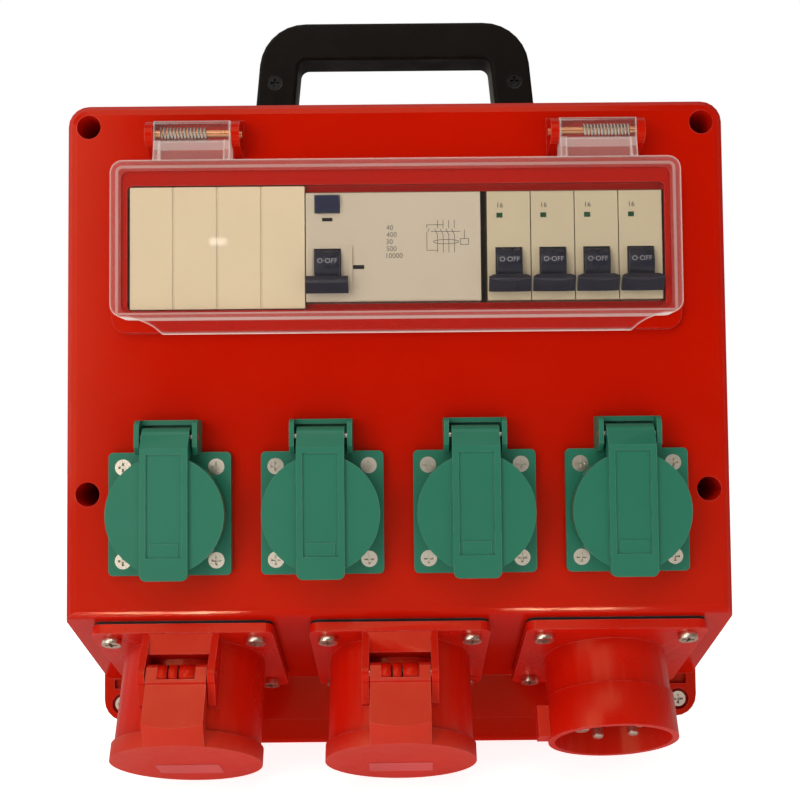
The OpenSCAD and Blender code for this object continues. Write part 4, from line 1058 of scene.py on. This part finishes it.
def lid_plate(number, material, detail):
    """A bare raised plate on a slanted socket's lid."""
    half = 13.5 * MM
    outline = rounded_outline(-half, -16.0 * MM, half, -1.0 * MM, 1.0 * MM)
    points, faces = slab(outline, -LID_FACE, -LID_FACE - detail.plate_lift)
    placed = on_panel(number, [(x, y, -depth) for x, depth, y in points])
    body = f"cee_lid_{number}"
    piece(f"cee_plate_{number}", placed, faces, material, body)


def spring_sleeves(number, material):
    """Three sleeves round a lid's spring, which leave two slits for its ends."""
    outer, inner = 4.0 * MM, 3.5 * MM
    body = f"cee_lid_{number}"
    hinge = Vector(JOINTS[f"cee_lid_{number}_turn"]["pos_m"])
    for i, (x0, x1) in enumerate(((-7.6, -3.7), (-3.0, 0.5), (1.2, 7.6))):
        points, faces = tube(x0 * MM, x1 * MM, outer, inner)
        placed = [hinge + Vector(point) for point in points]
        name = f"cee_sleeve_{number}_{i + 1}"
        made = piece(name, placed, faces, material, body)
        made.data.shade_smooth()


class POWERBOX_OT_slanted(bpy.types.Operator):
    """Finishes the slanted sockets and the inlet"""

    bl_idname = "powerbox.slanted"
    bl_label = "Slanted sockets"

    def execute(self, context):
        look = finishes()
        detail = context.scene.powerbox_detail
        red = finish(
            "Socket red",
            look.socket_red,
            0.30,
            mottle=0.03,
            grain=0.03,
            specular=0.22,
            sheen=RED_SHEEN,
        )
        grained = finish(
            "Lid red",
            look.socket_red,
            0.50,
            mottle=0.03,
            grain=0.10,
            specular=0.55,
            sheen=RED_SHEEN,
        )
        # The plate's red is lifted paler as a painted sheen, standing in for the glints of its
        # relief lettering, which is left off; its satin gloss is real.
        painted_sheen_red = lifted(look.socket_red, 0.05)
        satin_and_painted_sheen = finish("Plate red", painted_sheen_red, 0.60, mottle=0.10, grain=0.20, specular=0.60)
        for name in ("cee_socket_body_1", "cee_socket_body_2", "inlet_body"):
            dress(name, red, SLANTED_EDGE)
        for number in (1, 2):
            dress(f"cee_lid_{number}", grained, SLANTED_EDGE)
            lid_plate(number, satin_and_painted_sheen, detail)
            spring_sleeves(number, red)
        dress("cee_socket_cores", finish("Carrier grey", look.core_grey, 0.5))
        dress("inlet_core", red)
        dress("cee_contacts", metal("Sleeve brass", look.brass, 0.35))
        wire = metal("Lid pins", look.steel, 0.3)
        dress("cee_hinge_pins", wire)
        dress("cee_lid_springs", wire)
        dress("cee_gaskets", finish("Flange seal", look.rubber, 0.7))
        nickel = metal("Slanted screws", look.nickel, 0.28)
        dress("cee_flange_screws", nickel, FLANGE_SCREW_EDGE)
        dress("inlet_pins", nickel)
        return {"FINISHED"}


# Inside


class POWERBOX_OT_inside(bpy.types.Operator):
    """Finishes the rail, the comb and the terminal bars behind the cover"""

    bl_idname = "powerbox.inside"
    bl_label = "Inside"

    def execute(self, context):
        look = finishes()
        dress("din_rail", metal("Rail steel", look.steel, 0.35))
        dress("din_rail_screws", metal("Rail screws", look.nickel, 0.3))
        dress("busbar_comb", metal("Comb copper", look.copper, 0.3))
        brass = metal("Bar brass", look.brass, 0.35)
        for name in ("neutral_bar", "earth_bar"):
            dress(name, brass)
        return {"FINISHED"}


# Add-on


STEPS = ("stage", "housing", "handle", "window", "breakers", "household", "slanted", "inside")


class POWERBOX_PT_sidebar(bpy.types.Panel):
    """Lists the steps that dress the power box"""

    bl_idname = "POWERBOX_PT_sidebar"
    bl_label = "Power Box"
    bl_space_type = "VIEW_3D"
    bl_region_type = "UI"
    bl_category = "Power Box"

    def draw(self, context):
        for step in STEPS:
            self.layout.operator(f"powerbox.{step}")


CLASSES = (
    FinishSettings,
    DetailSettings,
    StageSettings,
    POWERBOX_OT_stage,
    POWERBOX_OT_housing,
    POWERBOX_OT_handle,
    POWERBOX_OT_window,
    POWERBOX_OT_breakers,
    POWERBOX_OT_household,
    POWERBOX_OT_slanted,
    POWERBOX_OT_inside,
    POWERBOX_PT_sidebar,
)


def register():
    for cls in CLASSES:
        bpy.utils.register_class(cls)
    bpy.types.Scene.powerbox_finish = PointerProperty(type=FinishSettings)
    bpy.types.Scene.powerbox_detail = PointerProperty(type=DetailSettings)
    bpy.types.Scene.powerbox_stage = PointerProperty(type=StageSettings)


def unregister():
    del bpy.types.Scene.powerbox_stage
    del bpy.types.Scene.powerbox_detail
    del bpy.types.Scene.powerbox_finish
    for cls in reversed(CLASSES):
        bpy.utils.unregister_class(cls)


def main():
    register()
    for step in STEPS:
        getattr(bpy.ops.powerbox, step)()


if __name__ == "__main__":
    main()
